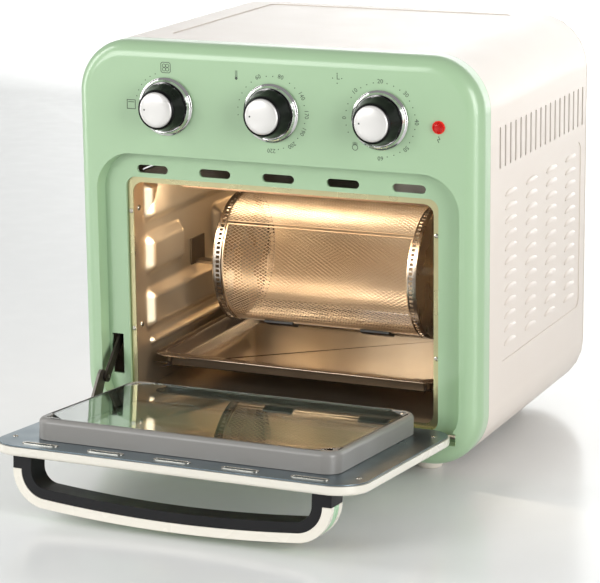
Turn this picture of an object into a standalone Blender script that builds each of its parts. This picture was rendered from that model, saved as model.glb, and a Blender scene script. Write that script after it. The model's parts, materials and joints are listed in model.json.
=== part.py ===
"""A countertop rotisserie oven with a drop-down glass door, a turning mesh basket and a drip tray.

Metres, +Z up, the door faces -Y. Everything hangs on an empty in the middle of the seam between the
moulded front and the sheet casing, at table height. The door is drawn shut and then turned open.
"""

import math

import bmesh
import bpy
from mathutils import Matrix, Vector

# Driving sizes of the body
BODY_WIDTH = 0.325
BODY_TOP = 0.318
FOOT_HEIGHT = 0.013
CASING_DEPTH = 0.228
FRONT_DEPTH = 0.022
CORNER_RADIUS = 0.041
SHEET = 0.0012
CASING_SHEET = 0.0015
GAP = 0.0003

# Front moulding
FRONT_WALL = 0.003
FRONT_ROLL = 0.012
RECESS_DEPTH = 0.0100
RECESS_MARGIN = 0.0155
RECESS_DRAFT = 0.002
RECESS_LIP = 0.0185
CONTROL_HEIGHT = 0.0855
RECESS_TOP_RADIUS = 0.029
RECESS_LOW_RADIUS = 0.024
RECESS_FLOOR_WALL = 0.0022
AIR_SLOT = (0.026, 0.0063)
AIR_SLOT_PITCH = 0.0521
AIR_SLOTS = 5
AIR_SLOT_RISE = 0.009
STAY_SLOT = (0.0099, 0.0317)
STAY_SLOT_RISE = 0.0359

# Cooking cavity
SIDE_ROOM = 0.038
UNDERFLOOR = 0.0275
ROOF_DROP = 0.1075
REAR_ROOM = 0.016
CAVITY_START = -0.0080
MOUTH_LIP = 0.002
MOUTH_REVEAL = 0.0025
MOUTH_CORNER = 0.008
PAD_HEIGHT = 0.0065
PAD_SLOPE = 0.009
PAD_CORNER = 0.009
BEAD_HEIGHT = 0.0035

# Heat, fan and spit
HEATER_RADIUS = 0.0032
HEATER_DROP = 0.0105
HEATER_SPREAD = 0.053
HEATER_BEND = 0.012
FAN_HOLE_RADIUS = 0.0056
FAN_HOLE_PITCH = 0.0170
FAN_HOLE_RINGS = 2
FAN_RADIUS = 0.040
FAN_HOUSING_RADIUS = 0.050
FAN_HOUSING_HEIGHT = 0.020
SHAFT_RADIUS = 0.0025
SPIT_PIN_RADIUS = 0.003
SPIT_SQUARE = 0.006
SPIT_MOTOR_RADIUS = 0.024

# Basket
BASKET_END_ROOM = 0.0398
BASKET_TRAY_GAP = 0.0088
BASKET_HEATER_GAP = 0.0133
BASKET_RIM_DEPTH = 0.0062
MESH_WALL = 0.0008
LID_HINGE_ANGLE = 47.0
LID_LATCH_ANGLE = 158.0
CLIP_SIZE = (0.025, 0.0026)
CLIP_PLACE = 0.041

# Drip tray
TRAY_RIM_RISE = 0.0292
TRAY_DEPTH = 0.0112
TRAY_LIP = 0.0075
TRAY_WALL = 0.0012
TRAY_SIDE_GAP = 0.005
TRAY_FRONT = 0.0055
TRAY_REAR_GAP = 0.009
TRAY_CORNER = 0.014

# Door
HINGE_Y = -0.016
HINGE_RISE = 0.0235
DOOR_OPEN = math.radians(85.5)
DOOR_GAP = 0.0035
DOOR_TOP_GAP = 0.003
DOOR_BELOW = 0.0025
DOOR_OUT = 0.004
DOOR_IN = 0.0026
DOOR_TOP_RADIUS = 0.025
DOOR_LOW_RADIUS = 0.022
DOOR_EDGE = 0.0025
DOOR_PLATE = 0.0008
GLASS = 0.003
WINDOW_BORDER = 0.0055
FRAME_GAP = 0.007
FRAME_TOP_GAP = 0.0063
FRAME_LOW_GAP = 0.008
FRAME_REACH = 0.0196
FRAME_LAND = 0.007
FRAME_LIP = 0.003
FRAME_CORNER = 0.012
GUSSET = 0.018
PIN_RADIUS = 0.0016
PIN_CLEARANCE = 0.0003

# Handle
HANDLE_INSET = 0.0207
HANDLE_FRONT_DROP = 0.006
HANDLE_DEPTH = 0.020
HANDLE_REACH = 0.037
HANDLE_BOW = 0.0045
HANDLE_BAND = 0.0067
HANDLE_GRIP = 0.0145
HANDLE_ROOT = 0.0095
INLAY = (0.0090, 0.0012)

# Door stay, on the left side only
STAY_INSET = 0.0070
STAY_PIN = (0.0208, 0.0162)
STAY_LENGTH = 0.085
STAY_LEAN = math.radians(-44.1)
STAY_SHEET = 0.0018
GUIDE_POINT = (0.0158, 0.0580)

# Controls
KNOB_PITCH = 0.086
KNOB_DROP = 0.0475
KNOB_SKIRT_RADIUS = 0.022
KNOB_HOLE_RADIUS = 0.007
KNOB_STEM_RADIUS = 0.006
KNOB_SHAFT_RADIUS = 0.003
LAMP_PLACE = (0.0316, 0.0502)
LAMP_RADIUS = 0.0040
BRACKET_Y = -0.0085

# Casing pattern
VENT = (0.031, 0.0032)
VENT_PITCH = 0.0115
VENT_DROP = 0.0705
VENT_MARGIN = 0.015
PANEL_MARGIN = (0.023, 0.0142)
PANEL_LOW = 0.072
PANEL_DROP = 0.098
PANEL_SINK = 0.0006
LOUVRE = (0.025, 0.0014)
LOUVRE_PITCH = (0.0473, 0.0103)
LOUVRE_EDGE = 0.009
BASE_OPEN_EDGE = 0.0265
FOOT_RADIUS = 0.010
FOOT_INSET = (0.0545, 0.022)

# Worked out from the driving sizes
HALF = BODY_WIDTH / 2
FRONT_Y = -FRONT_DEPTH
RECESS_Y = FRONT_Y + RECESS_DEPTH
RECESS_HALF = HALF - RECESS_MARGIN
STAY_X = RECESS_HALF - STAY_INSET
RECESS_LOW_Z = FOOT_HEIGHT + RECESS_LIP
RECESS_TOP_Z = BODY_TOP - CONTROL_HEIGHT
CAVITY_HALF = HALF - SIDE_ROOM
CAVITY_LOW_Z = FOOT_HEIGHT + UNDERFLOOR
CAVITY_TOP_Z = BODY_TOP - ROOF_DROP
CAVITY_BACK_Y = CASING_DEPTH - REAR_ROOM
AIR_SLOT_Z = CAVITY_TOP_Z + AIR_SLOT_RISE
MOUTH_Y = CAVITY_START - GAP - SHEET
SPIT_Y = (CAVITY_START + CAVITY_BACK_Y) / 2
TRAY_RIM_Z = CAVITY_LOW_Z + TRAY_RIM_RISE
HEATER_Z = CAVITY_TOP_Z - HEATER_DROP
BASKET_LOW_Z = TRAY_RIM_Z + BASKET_TRAY_GAP
BASKET_TOP_Z = HEATER_Z - HEATER_RADIUS - BASKET_HEATER_GAP
BASKET_RADIUS = (BASKET_TOP_Z - BASKET_LOW_Z) / 2
SPIT_Z = (BASKET_TOP_Z + BASKET_LOW_Z) / 2
BASKET_HALF = CAVITY_HALF - BASKET_END_ROOM
HINGE_Z = FOOT_HEIGHT + HINGE_RISE
STAY_SLOT_Z = HINGE_Z + STAY_SLOT_RISE
DOOR_HALF = RECESS_HALF - DOOR_GAP
DOOR_TOP = RECESS_TOP_Z - DOOR_TOP_GAP - HINGE_Z
FRAME_HALF = CAVITY_HALF - FRAME_GAP
FRAME_TOP = CAVITY_TOP_Z - FRAME_TOP_GAP - HINGE_Z
FRAME_LOW = CAVITY_LOW_Z + FRAME_LOW_GAP - HINGE_Z
WINDOW_HALF = FRAME_HALF - WINDOW_BORDER
WINDOW_LOW = FRAME_LOW + WINDOW_BORDER
WINDOW_TOP = FRAME_TOP - WINDOW_BORDER
KNOB_Z = BODY_TOP - KNOB_DROP
HANDLE_HALF = DOOR_HALF - HANDLE_INSET
HANDLE_CORNER = HANDLE_REACH - HANDLE_ROOT - 0.0005
CORD_BUSH_REACH = 0.008
REACH_FRONT = DOOR_TOP * math.sin(DOOR_OPEN) - HINGE_Y
REACH_REAR = CASING_DEPTH + CORD_BUSH_REACH
SEAM_Y = (REACH_FRONT - REACH_REAR) / 2
ARC_STEPS = 6
FINE_STEPS = 3


# Scene, materials and small helpers


def clear_scene():
    for obj in list(bpy.data.objects):
        bpy.data.objects.remove(obj, do_unlink=True)


def new_collection(name):
    collection = bpy.data.collections.new(name)
    bpy.context.scene.collection.children.link(collection)
    return collection


def finish(name, colour, roughness, metallic=0.0, alpha=1.0):
    """A plain Principled material."""
    material = bpy.data.materials.new(name)
    material.use_nodes = True
    shader = material.node_tree.nodes["Principled BSDF"]
    shader.inputs["Base Color"].default_value = (*colour, 1.0)
    shader.inputs["Roughness"].default_value = roughness
    shader.inputs["Metallic"].default_value = metallic
    shader.inputs["Alpha"].default_value = alpha
    material.diffuse_color = (*colour, alpha)
    return material


def empty(name, location, rotation=(0.0, 0.0, 0.0), parent=None):
    axis = bpy.data.objects.new(name, None)
    axis.empty_display_size = 0.02
    axis.location = location
    axis.rotation_euler = rotation
    axis.parent = parent
    PARTS.objects.link(axis)
    return axis


def put(name, mesh, parent, location=(0.0, 0.0, 0.0), rotation=(0.0, 0.0, 0.0)):
    obj = bpy.data.objects.new(name, mesh)
    PARTS.objects.link(obj)
    obj.parent = parent
    obj.location = location
    obj.rotation_euler = rotation
    return obj


def settle(mesh, merge=0.000001, flat=False):
    """Welds a mesh, joins the triangles of its flat faces and points its faces outwards."""
    bm = bmesh.new()
    bm.from_mesh(mesh)
    bmesh.ops.remove_doubles(bm, verts=bm.verts, dist=merge)
    if flat:
        bmesh.ops.dissolve_limit(bm, angle_limit=math.radians(0.3), verts=bm.verts, edges=bm.edges)
    bmesh.ops.recalc_face_normals(bm, faces=bm.faces)
    bm.to_mesh(mesh)
    bm.free()
    return mesh


def evaluated_mesh(obj):
    bpy.context.view_layer.update()
    graph = bpy.context.evaluated_depsgraph_get()
    return bpy.data.meshes.new_from_object(obj.evaluated_get(graph), depsgraph=graph)


def dress(obj, material, smooth=None):
    obj.data.materials.clear()
    obj.data.materials.append(material)
    if smooth:
        obj.data.shade_smooth()
        obj.data.set_sharp_from_angle(angle=math.radians(smooth))
    return obj


# Flat outlines: lists of (across, up) points


def arc(centre, radius, start, end, steps):
    points = []
    for i in range(steps + 1):
        angle = math.radians(start + (end - start) * i / steps)
        points.append((centre[0] + radius * math.cos(angle), centre[1] + radius * math.sin(angle)))
    return points


def rounded(low_u, high_u, low_v, high_v, low_radius, top_radius=None, steps=ARC_STEPS):
    """A rectangle with round corners, from the lower right corner round to the lower left."""
    top = low_radius if top_radius is None else top_radius
    points = arc((high_u - low_radius, low_v + low_radius), low_radius, -90, 0, steps)
    points += arc((high_u - top, high_v - top), top, 0, 90, steps)
    points += arc((low_u + top, high_v - top), top, 90, 180, steps)
    points += arc((low_u + low_radius, low_v + low_radius), low_radius, 180, 270, steps)
    return points


def disc(centre, radius, steps=24):
    return arc(centre, radius, 0, 360, steps)[:-1]


def slot(centre, length, width, angle=0.0, steps=FINE_STEPS):
    """A slot with round ends, its length turned by an angle in degrees."""
    half = (length - width) / 2
    points = arc((half, 0.0), width / 2, -90, 90, steps) + arc((-half, 0.0), width / 2, 90, 270, steps)
    c, s = math.cos(math.radians(angle)), math.sin(math.radians(angle))
    return [(centre[0] + c * u - s * v, centre[1] + s * u + c * v) for u, v in points]


def sector(inner, outer, start, end, steps):
    """A ring sector; its angles run from straight up towards the door."""
    outside = arc((0.0, 0.0), outer, 90 + start, 90 + end, steps)
    inside = arc((0.0, 0.0), inner, 90 + end, 90 + start, steps)
    return outside + inside


# Solids

FACING = {
    "front": (math.pi / 2, 0.0, 0.0),
    "side": (math.pi / 2, 0.0, math.pi / 2),
    "top": (0.0, 0.0, 0.0),
}


def plate(name, outlines, low, high, facing, parent, roll=None, about=(0.0, 0.0)):
    """A flat shape with holes, as thick as low to high along Y, X or Z, for facing front, side or top.

    roll is (radius, steps) and rounds the edge of its outer face: towards -Y, +X or +Z.
    """
    curve = bpy.data.curves.new(name, "CURVE")
    curve.dimensions = "2D"
    curve.fill_mode = "BOTH"
    curve.extrude = (high - low) / 2
    for outline in outlines:
        spline = curve.splines.new("POLY")
        spline.points.add(len(outline) - 1)
        for point, (across, up) in zip(spline.points, outline):
            point.co = (across, up, 0.0, 1.0)
        spline.use_cyclic_u = True
    holder = put(name + "_outline", curve, None)
    mesh = settle(evaluated_mesh(holder), flat=True)
    bpy.data.objects.remove(holder)
    mesh.name = name
    if roll:
        roll_edge(mesh, (high - low) / 2, *roll)
    middle = (low + high) / 2
    places = {
        "front": (about[0], middle, about[1]),
        "side": (middle, about[0], about[1]),
        "top": (about[0], about[1], middle),
    }
    return put(name, mesh, parent, places[facing], FACING[facing])


def roll_edge(mesh, level, radius, steps):
    """Rounds the edges that bound the face at a level of the mesh's own Z."""
    bm = bmesh.new()
    bm.from_mesh(mesh)
    near = 0.00001
    rim = []
    for edge in bm.edges:
        if all(abs(vert.co.z - level) < near for vert in edge.verts) and edge.calc_face_angle(0) > 0.5:
            rim.append(edge)
    bmesh.ops.bevel(bm, geom=rim, offset=radius, segments=steps, profile=0.5, affect="EDGES")
    bm.to_mesh(mesh)
    bm.free()


def block(name, low, high, parent):
    """A box between two corners."""
    bm = bmesh.new()
    bmesh.ops.create_cube(bm, size=1.0)
    size = [b - a for a, b in zip(low, high)]
    middle = [(a + b) / 2 for a, b in zip(low, high)]
    bmesh.ops.scale(bm, vec=size, verts=bm.verts)
    mesh = bpy.data.meshes.new(name)
    bm.to_mesh(mesh)
    bm.free()
    return put(name, mesh, parent, middle)


def rod(name, radius, start, end, parent, sides=16):
    """A round bar between two points."""
    start, end = Vector(start), Vector(end)
    bm = bmesh.new()
    length = (end - start).length
    bmesh.ops.create_cone(
        bm, cap_ends=True, segments=sides, radius1=radius, radius2=radius, depth=length
    )
    turn = Vector((0.0, 0.0, 1.0)).rotation_difference(end - start).to_matrix().to_4x4()
    bmesh.ops.transform(bm, matrix=turn, verts=bm.verts)
    mesh = bpy.data.meshes.new(name)
    bm.to_mesh(mesh)
    bm.free()
    return put(name, mesh, parent, (start + end) / 2)


ALONG = {
    "+z": (0.0, 0.0, 0.0),
    "-y": (math.pi / 2, 0.0, 0.0),
    "+x": (0.0, math.pi / 2, 0.0),
    "-x": (0.0, -math.pi / 2, 0.0),
    "+y": (-math.pi / 2, 0.0, 0.0),
}


def turned(name, profile, location, along, parent, steps=32):
    """A turned piece: (radius, distance) points, spun about an axis that points along a direction."""
    mesh = bpy.data.meshes.new(name)
    edges = [(i, i + 1) for i in range(len(profile) - 1)]
    if profile[0][0] > 0 and profile[-1][0] > 0:
        edges.append((len(profile) - 1, 0))
    mesh.from_pydata([(radius, 0.0, far) for radius, far in profile], edges, [])
    obj = put(name, mesh, None)
    screw = obj.modifiers.new("Turn", "SCREW")
    screw.axis = "Z"
    screw.steps = steps
    screw.render_steps = steps
    screw.use_merge_vertices = True
    screw.merge_threshold = 0.00001
    spun = settle(evaluated_mesh(obj))
    bpy.data.objects.remove(obj)
    spun.name = name
    return put(name, spun, parent, location, ALONG[along])


def loft(name, rings, parent):
    """A closed solid through rings of (x, y, z) points that all have the same count."""
    bm = bmesh.new()
    loops = [[bm.verts.new(point) for point in ring] for ring in rings]
    count = len(rings[0])
    for lower, upper in zip(loops, loops[1:]):
        for i in range(count):
            j = (i + 1) % count
            bm.faces.new((lower[i], lower[j], upper[j], upper[i]))
    bm.faces.new(loops[0])
    bm.faces.new(loops[-1])
    bmesh.ops.recalc_face_normals(bm, faces=bm.faces)
    mesh = bpy.data.meshes.new(name)
    bm.to_mesh(mesh)
    bm.free()
    return put(name, mesh, parent)


def wire(name, points, radius, parent, sides=2):
    """A bent round bar through its points, made into a mesh."""
    curve = bpy.data.curves.new(name, "CURVE")
    curve.dimensions = "3D"
    curve.bevel_depth = radius
    curve.bevel_resolution = sides
    curve.use_fill_caps = True
    spline = curve.splines.new("POLY")
    spline.points.add(len(points) - 1)
    for point, place in zip(spline.points, points):
        point.co = (*place, 1.0)
    holder = put(name + "_path", curve, None)
    mesh = settle(evaluated_mesh(holder))
    bpy.data.objects.remove(holder)
    mesh.name = name
    return put(name, mesh, parent)


def boolean(obj, tool, operation):
    """Cuts or joins a tool, which then stays as a wire-drawn helper."""
    for collection in list(tool.users_collection):
        collection.objects.unlink(tool)
    CUTTERS.objects.link(tool)
    tool.hide_render = True
    tool.display_type = "WIRE"
    step = obj.modifiers.new(operation.title(), "BOOLEAN")
    step.operation = operation
    step.solver = "EXACT"
    step.object = tool
    return obj


def cut(obj, *tools):
    for tool in tools:
        boolean(obj, tool, "DIFFERENCE")
    return obj


def weld_on(obj, *tools):
    for tool in tools:
        boolean(obj, tool, "UNION")
    return obj


def gather(name, pieces, parent):
    """Puts separate solids in one object, in its parent's frame."""
    bpy.context.view_layer.update()
    home = parent.matrix_world.inverted()
    bm = bmesh.new()
    for piece in pieces:
        mesh = evaluated_mesh(piece)
        mesh.transform(home @ piece.matrix_world)
        bm.from_mesh(mesh)
        bpy.data.objects.remove(piece)
    mesh = bpy.data.meshes.new(name)
    bm.to_mesh(mesh)
    bm.free()
    return put(name, mesh, parent)


# Body shell


def knob_places():
    return {"function": -KNOB_PITCH, "temperature": 0.0, "timer": KNOB_PITCH}


def air_slots(centre_z, length, width):
    middle = (AIR_SLOTS - 1) / 2
    return [slot(((i - middle) * AIR_SLOT_PITCH, centre_z), length, width) for i in range(AIR_SLOTS)]


def lamp_place():
    return HALF - LAMP_PLACE[0], BODY_TOP - LAMP_PLACE[1]


def make_fascia():
    """The moulded front: rolled outer edge, sunk door seat, mouth, air slots and control holes."""
    outline = rounded(-HALF, HALF, FOOT_HEIGHT, BODY_TOP, CORNER_RADIUS)
    fascia = plate("fascia", [outline], FRONT_Y, -GAP, "front", BODY, roll=(FRONT_ROLL, 4))
    rings = []
    for y, inset in ((FRONT_Y - RECESS_DRAFT, -RECESS_DRAFT / 4), (RECESS_Y, RECESS_DRAFT)):
        ring = rounded(
            inset - RECESS_HALF, RECESS_HALF - inset,
            RECESS_LOW_Z + inset / 4, RECESS_TOP_Z - inset / 4,
            RECESS_LOW_RADIUS, RECESS_TOP_RADIUS,
        )
        rings.append([(x, y, z) for x, z in ring])
    seat = loft("cut_seat", rings, BODY)
    reveal = MOUTH_REVEAL
    mouth_half = CAVITY_HALF + reveal
    opening = rounded(-mouth_half, mouth_half, CAVITY_LOW_Z - reveal, CAVITY_TOP_Z + reveal, MOUTH_CORNER)
    mouth = plate("cut_mouth", [opening], FRONT_Y - 0.002, 0.002, "front", BODY)
    wall = FRONT_WALL
    back_hollow = plate(
        "cut_back",
        [rounded(wall - HALF, HALF - wall, FOOT_HEIGHT + wall, BODY_TOP - wall, CORNER_RADIUS - wall)],
        RECESS_Y + RECESS_FLOOR_WALL, 0.002, "front", BODY,
    )
    edge = 0.008
    room_low, room_high = RECESS_TOP_Z + wall, BODY_TOP - edge
    control_room = rounded(edge - HALF, HALF - edge, room_low, room_high, wall, CORNER_RADIUS - edge)
    control_hollow = plate(
        "cut_control", [control_room], FRONT_Y + wall, RECESS_Y + RECESS_FLOOR_WALL + 0.001, "front", BODY
    )
    holes = [disc((x, KNOB_Z), KNOB_HOLE_RADIUS, 20) for x in knob_places().values()]
    holes.append(disc(lamp_place(), LAMP_RADIUS + GAP, 16))
    controls = plate("cut_controls", holes, FRONT_Y - 0.002, RECESS_Y, "front", BODY)
    low, high = STAY_SLOT_Z - STAY_SLOT[1] / 2, STAY_SLOT_Z + STAY_SLOT[1] / 2
    stay = block(
        "cut_stay",
        (-RECESS_HALF + 0.0043, FRONT_Y, low),
        (-RECESS_HALF + 0.0043 + STAY_SLOT[0], 0.0, high),
        BODY,
    )
    slots = plate("cut_air", air_slots(AIR_SLOT_Z, *AIR_SLOT), FRONT_Y, 0.0, "front", BODY)
    swing = DOOR_HALF + 0.0008
    notch = block(
        "cut_notch", (-swing, FRONT_Y - 0.002, RECESS_LOW_Z), (swing, RECESS_Y, HINGE_Z + 0.0045), BODY
    )
    cut(fascia, seat, notch, mouth, back_hollow, control_hollow, controls, stay, slots)
    for side in (-1, 1):
        start = (side * (DOOR_HALF - 0.015), HINGE_Y, HINGE_Z)
        end = (side * (RECESS_HALF + 0.0015), HINGE_Y, HINGE_Z)
        cut(fascia, rod("cut_pin", PIN_RADIUS + PIN_CLEARANCE, start, end, BODY, 12))
    dress(fascia, MINT, 30)
    return fascia


def make_casing():
    """A cream sheet wrapped round the sides and top, turned in under the body."""
    inner = CASING_SHEET
    outer_path = rounded(-HALF, HALF, FOOT_HEIGHT, BODY_TOP, CORNER_RADIUS)
    inner_path = rounded(
        inner - HALF, HALF - inner, FOOT_HEIGHT + inner, BODY_TOP - inner, CORNER_RADIUS - inner
    )
    open_half = HALF - CORNER_RADIUS - BASE_OPEN_EDGE
    outline = [(open_half, FOOT_HEIGHT)] + outer_path + [(-open_half, FOOT_HEIGHT)]
    outline += [(-open_half, FOOT_HEIGHT + inner)] + inner_path[::-1] + [(open_half, FOOT_HEIGHT + inner)]
    end = CASING_DEPTH - CASING_SHEET - GAP
    casing = plate("casing", [outline], 0.0, end, "front", BODY)
    count = int((CASING_DEPTH - 2 * VENT_MARGIN) / VENT_PITCH) + 1
    first = (CASING_DEPTH - (count - 1) * VENT_PITCH) / 2
    vent_z = BODY_TOP - VENT_DROP
    vents = [slot((first + i * VENT_PITCH, vent_z), VENT[0], VENT[1], 90, 2) for i in range(count)]
    panel = (PANEL_MARGIN[0], CASING_DEPTH - PANEL_MARGIN[1], FOOT_HEIGHT + PANEL_LOW, BODY_TOP - PANEL_DROP)
    columns = int((panel[1] - panel[0] - LOUVRE[0]) / LOUVRE_PITCH[0]) + 1
    rows = int((panel[3] - panel[2] - 2 * LOUVRE_EDGE) / LOUVRE_PITCH[1]) + 1
    middle_y, middle_z = (panel[0] + panel[1]) / 2, (panel[2] + panel[3]) / 2
    louvres = []
    for i in range(columns):
        for j in range(rows):
            y = middle_y + (i - (columns - 1) / 2) * LOUVRE_PITCH[0]
            z = middle_z + (j - (rows - 1) / 2) * LOUVRE_PITCH[1]
            half_long, half_tall = LOUVRE[0] / 2, LOUVRE[1] / 2
            louvres.append(
                [(y - half_long, z - half_tall), (y + half_long, z - half_tall),
                 (y + half_long, z + half_tall), (y - half_long, z + half_tall)]
            )
    for side in (-1, 1):
        sink = rounded(*panel, 0.008, steps=4)
        near, far = sorted((side * (HALF - PANEL_SINK), side * (HALF + 0.002)))
        cut(casing, plate("cut_panel", [sink], near, far, "side", BODY))
        near, far = sorted((side * (HALF - 0.004), side * (HALF + 0.002)))
        cut(casing, plate("cut_vents", vents + louvres, near, far, "side", BODY))
    top_half = HALF - 0.0575
    sink = rounded(-top_half, top_half, PANEL_MARGIN[0], CASING_DEPTH - PANEL_MARGIN[1], 0.008, steps=4)
    cut(casing, plate("cut_top", [sink], BODY_TOP - PANEL_SINK, BODY_TOP + 0.002, "top", BODY))
    return dress(casing, CREAM, 30)


def make_base():
    low = FOOT_HEIGHT + CASING_SHEET + GAP
    half = HALF - CORNER_RADIUS
    outline = rounded(-half, half, 0.003, CASING_DEPTH - 0.005, 0.006, steps=3)
    slots = [slot((x * 0.034, y), 0.030, 0.004, 90, 3) for x in range(-2, 3) for y in (0.070, 0.150)]
    dress(plate("base_plate", [outline] + slots, low, low + SHEET, "top", BODY), STEEL)
    top = FOOT_HEIGHT - GAP
    profile = [(0.0, top), (FOOT_RADIUS, top), (FOOT_RADIUS, 0.001), (FOOT_RADIUS - 0.001, 0.0), (0.0, 0.0)]
    for side, x in (("left", FOOT_INSET[0] - HALF), ("right", HALF - FOOT_INSET[0])):
        for end, y in (("front", FOOT_INSET[1]), ("rear", CASING_DEPTH - FOOT_INSET[1])):
            foot = turned(f"foot_{end}_{side}", profile, (x, y, 0.0), "+z", BODY, 18)
            dress(foot, CREAM_PLASTIC, 30)


def back_screw_places():
    x, low, high = HALF - 0.018, FOOT_HEIGHT + 0.045, BODY_TOP - 0.045
    return [(-x, low), (x, low), (-x, high), (x, high), (0.0, BODY_TOP - 0.010), (0.0, FOOT_HEIGHT + 0.010)]


def cord_place():
    return HALF - 0.045, FOOT_HEIGHT + 0.040


def make_back():
    """The back panel with its vents, and the bush that the mains lead enters by."""
    outline = rounded(-HALF, HALF, FOOT_HEIGHT, BODY_TOP, CORNER_RADIUS)
    holes = [disc(place, 0.0014, 10) for place in back_screw_places()]
    holes.append(disc(cord_place(), 0.0063, 20))
    for row in range(3):
        for column in range(-2, 3):
            place = (column * 0.038, BODY_TOP - 0.040 - row * 0.012)
            holes.append(slot(place, 0.030, 0.005, 0, 2))
    near = CASING_DEPTH - CASING_SHEET
    dress(plate("back_panel", [outline] + holes, near, CASING_DEPTH, "front", BODY), CREAM)
    x, z = cord_place()
    reach = CORD_BUSH_REACH
    bush = [
        (0.0, -0.006), (0.0060, -0.006), (0.0060, GAP), (0.0090, GAP),
        (0.0090, 0.003), (0.0068, reach), (0.0036, reach), (0.0036, 0.001), (0.0, 0.001),
    ]
    dress(turned("cord_inlet", bush, (x, CASING_DEPTH, z), "+y", BODY, 14), BLACK, 30)


# Cavity


def pad(name, side, low_y, high_y, low_z, high_z, height, slope, shift=0.0):
    """One pressed pad of a side wall, drawn from behind the wall into the cavity."""
    wall_x = side * (CAVITY_HALF + SHEET / 4 + shift)
    face_x = side * (CAVITY_HALF - height + shift)
    radius = min(PAD_CORNER, (high_z - low_z) / 2 - GAP)
    foot = rounded(low_y, high_y, low_z, high_z, radius, steps=2)
    radius = min(PAD_CORNER * 0.7, (high_z - low_z) / 2 - slope - GAP)
    face = rounded(low_y + slope, high_y - slope, low_z + slope, high_z - slope, radius, steps=2)
    return loft(name, [[(wall_x, y, z) for y, z in foot], [(face_x, y, z) for y, z in face]], BODY)


def wall_pads():
    """Place and height of each pad: two long ones, two short ones beside the spit, and a bead."""
    front, rear = 0.009, CAVITY_BACK_Y - 0.011
    gap = 0.0265
    low = CAVITY_LOW_Z
    high = CAVITY_TOP_Z
    return [
        (front, rear, high - 0.0405, high - 0.0035, PAD_HEIGHT, PAD_SLOPE),
        (front, SPIT_Y - gap, low + 0.0875, high - 0.0465, PAD_HEIGHT, PAD_SLOPE),
        (SPIT_Y + gap, rear, low + 0.0875, high - 0.0465, PAD_HEIGHT, PAD_SLOPE),
        (front, rear, low + 0.0435, low + 0.0805, PAD_HEIGHT, PAD_SLOPE),
        (front + 0.006, rear, low + 0.0315, low + 0.0405, BEAD_HEIGHT, 0.0035),
    ]


def heater_ends():
    return [SPIT_Y + side * HEATER_SPREAD + bend * HEATER_BEND for side in (-1, 1) for bend in (-1, 1)]


def wall_screw_places():
    return [(0.0036, CAVITY_TOP_Z - 0.025), (0.0036, CAVITY_LOW_Z + 0.0525)]


def make_rail(side):
    """The angle strip on a side wall that carries one lip of the tray."""
    top = TRAY_RIM_Z - TRAY_WALL - 0.0004
    wall, inner = side * (CAVITY_HALF + SHEET / 2), side * (CAVITY_HALF - 0.012)
    web = side * (CAVITY_HALF - SHEET)
    outline = [
        (wall, top), (inner, top), (inner, top - SHEET),
        (web, top - SHEET), (web, top - 0.010), (wall, top - 0.010),
    ]
    return plate("rail", [outline], 0.008, CAVITY_BACK_Y - 0.008, "front", BODY)


def make_stay_guide():
    """The headed stud that the door's stay runs over, and the strap that fastens it to the left wall."""
    wall, far = CAVITY_HALF + SHEET, STAY_X + 0.0015
    shank, head = 0.003, 0.004
    y, z = GUIDE_POINT[0], HINGE_Z + GUIDE_POINT[1]
    strap_half, under_head = 0.006, far - 0.0075
    strap_low = (-wall - 0.0015, CAVITY_START + 0.002, z - strap_half)
    strap = block("strap", strap_low, (SHEET / 2 - wall, y + strap_half, z + strap_half), BODY)
    stud = [(0.0, far), (head, far), (head, under_head), (shank, under_head), (shank, wall), (0.0, wall)]
    return strap, turned("stay_guide", stud, (0.0, y, z), "-x", BODY, 20)


def make_side_wall(name, side):
    start, end = CAVITY_START, CAVITY_BACK_Y - GAP
    low, high = CAVITY_LOW_Z + GAP, CAVITY_TOP_Z - GAP
    outline = [(start, low), (end, low), (end, high), (start, high)]
    holes = [disc(place, 0.0013, 8) for place in wall_screw_places()]
    if side > 0:
        holes.append(disc((SPIT_Y, SPIT_Z), 0.0056, 20))
    near, far = sorted((side * CAVITY_HALF, side * (CAVITY_HALF + SHEET)))
    wall = plate(name, [outline] + holes, near, far, "side", BODY)
    weld_on(wall, make_rail(side))
    pads = [pad("pad", side, *place) for place in wall_pads()]
    dents = [pad("dent", side, *place, shift=SHEET) for place in wall_pads()]
    weld_on(wall, gather("pads", pads, BODY))
    cut(wall, gather("dents", dents, BODY))
    if side > 0:
        near_x, far_x = CAVITY_HALF - PAD_HEIGHT - 0.002, CAVITY_HALF + 0.004
        tools = [
            rod("cut", HEATER_RADIUS + 0.0004, (near_x, y, HEATER_Z), (far_x, y, HEATER_Z), BODY, 10)
            for y in heater_ends()
        ]
        cut(wall, gather("cut_heaters", tools, BODY))
    else:
        weld_on(wall, *make_stay_guide())
    for step in wall.modifiers:
        step.solver = "MANIFOLD"
    return dress(wall, CAVITY_STEEL, 20)


def fan_holes():
    """Rings of round holes under the fan, each ring with six more than the one inside it."""
    holes = [disc((0.0, SPIT_Y), FAN_HOLE_RADIUS, 8)]
    for ring in range(1, FAN_HOLE_RINGS + 1):
        count, radius = 6 * ring, ring * FAN_HOLE_PITCH
        for i in range(count):
            turn = 2 * math.pi * i / count
            place = (radius * math.cos(turn), SPIT_Y + radius * math.sin(turn))
            holes.append(disc(place, FAN_HOLE_RADIUS, 8))
    return holes


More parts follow.
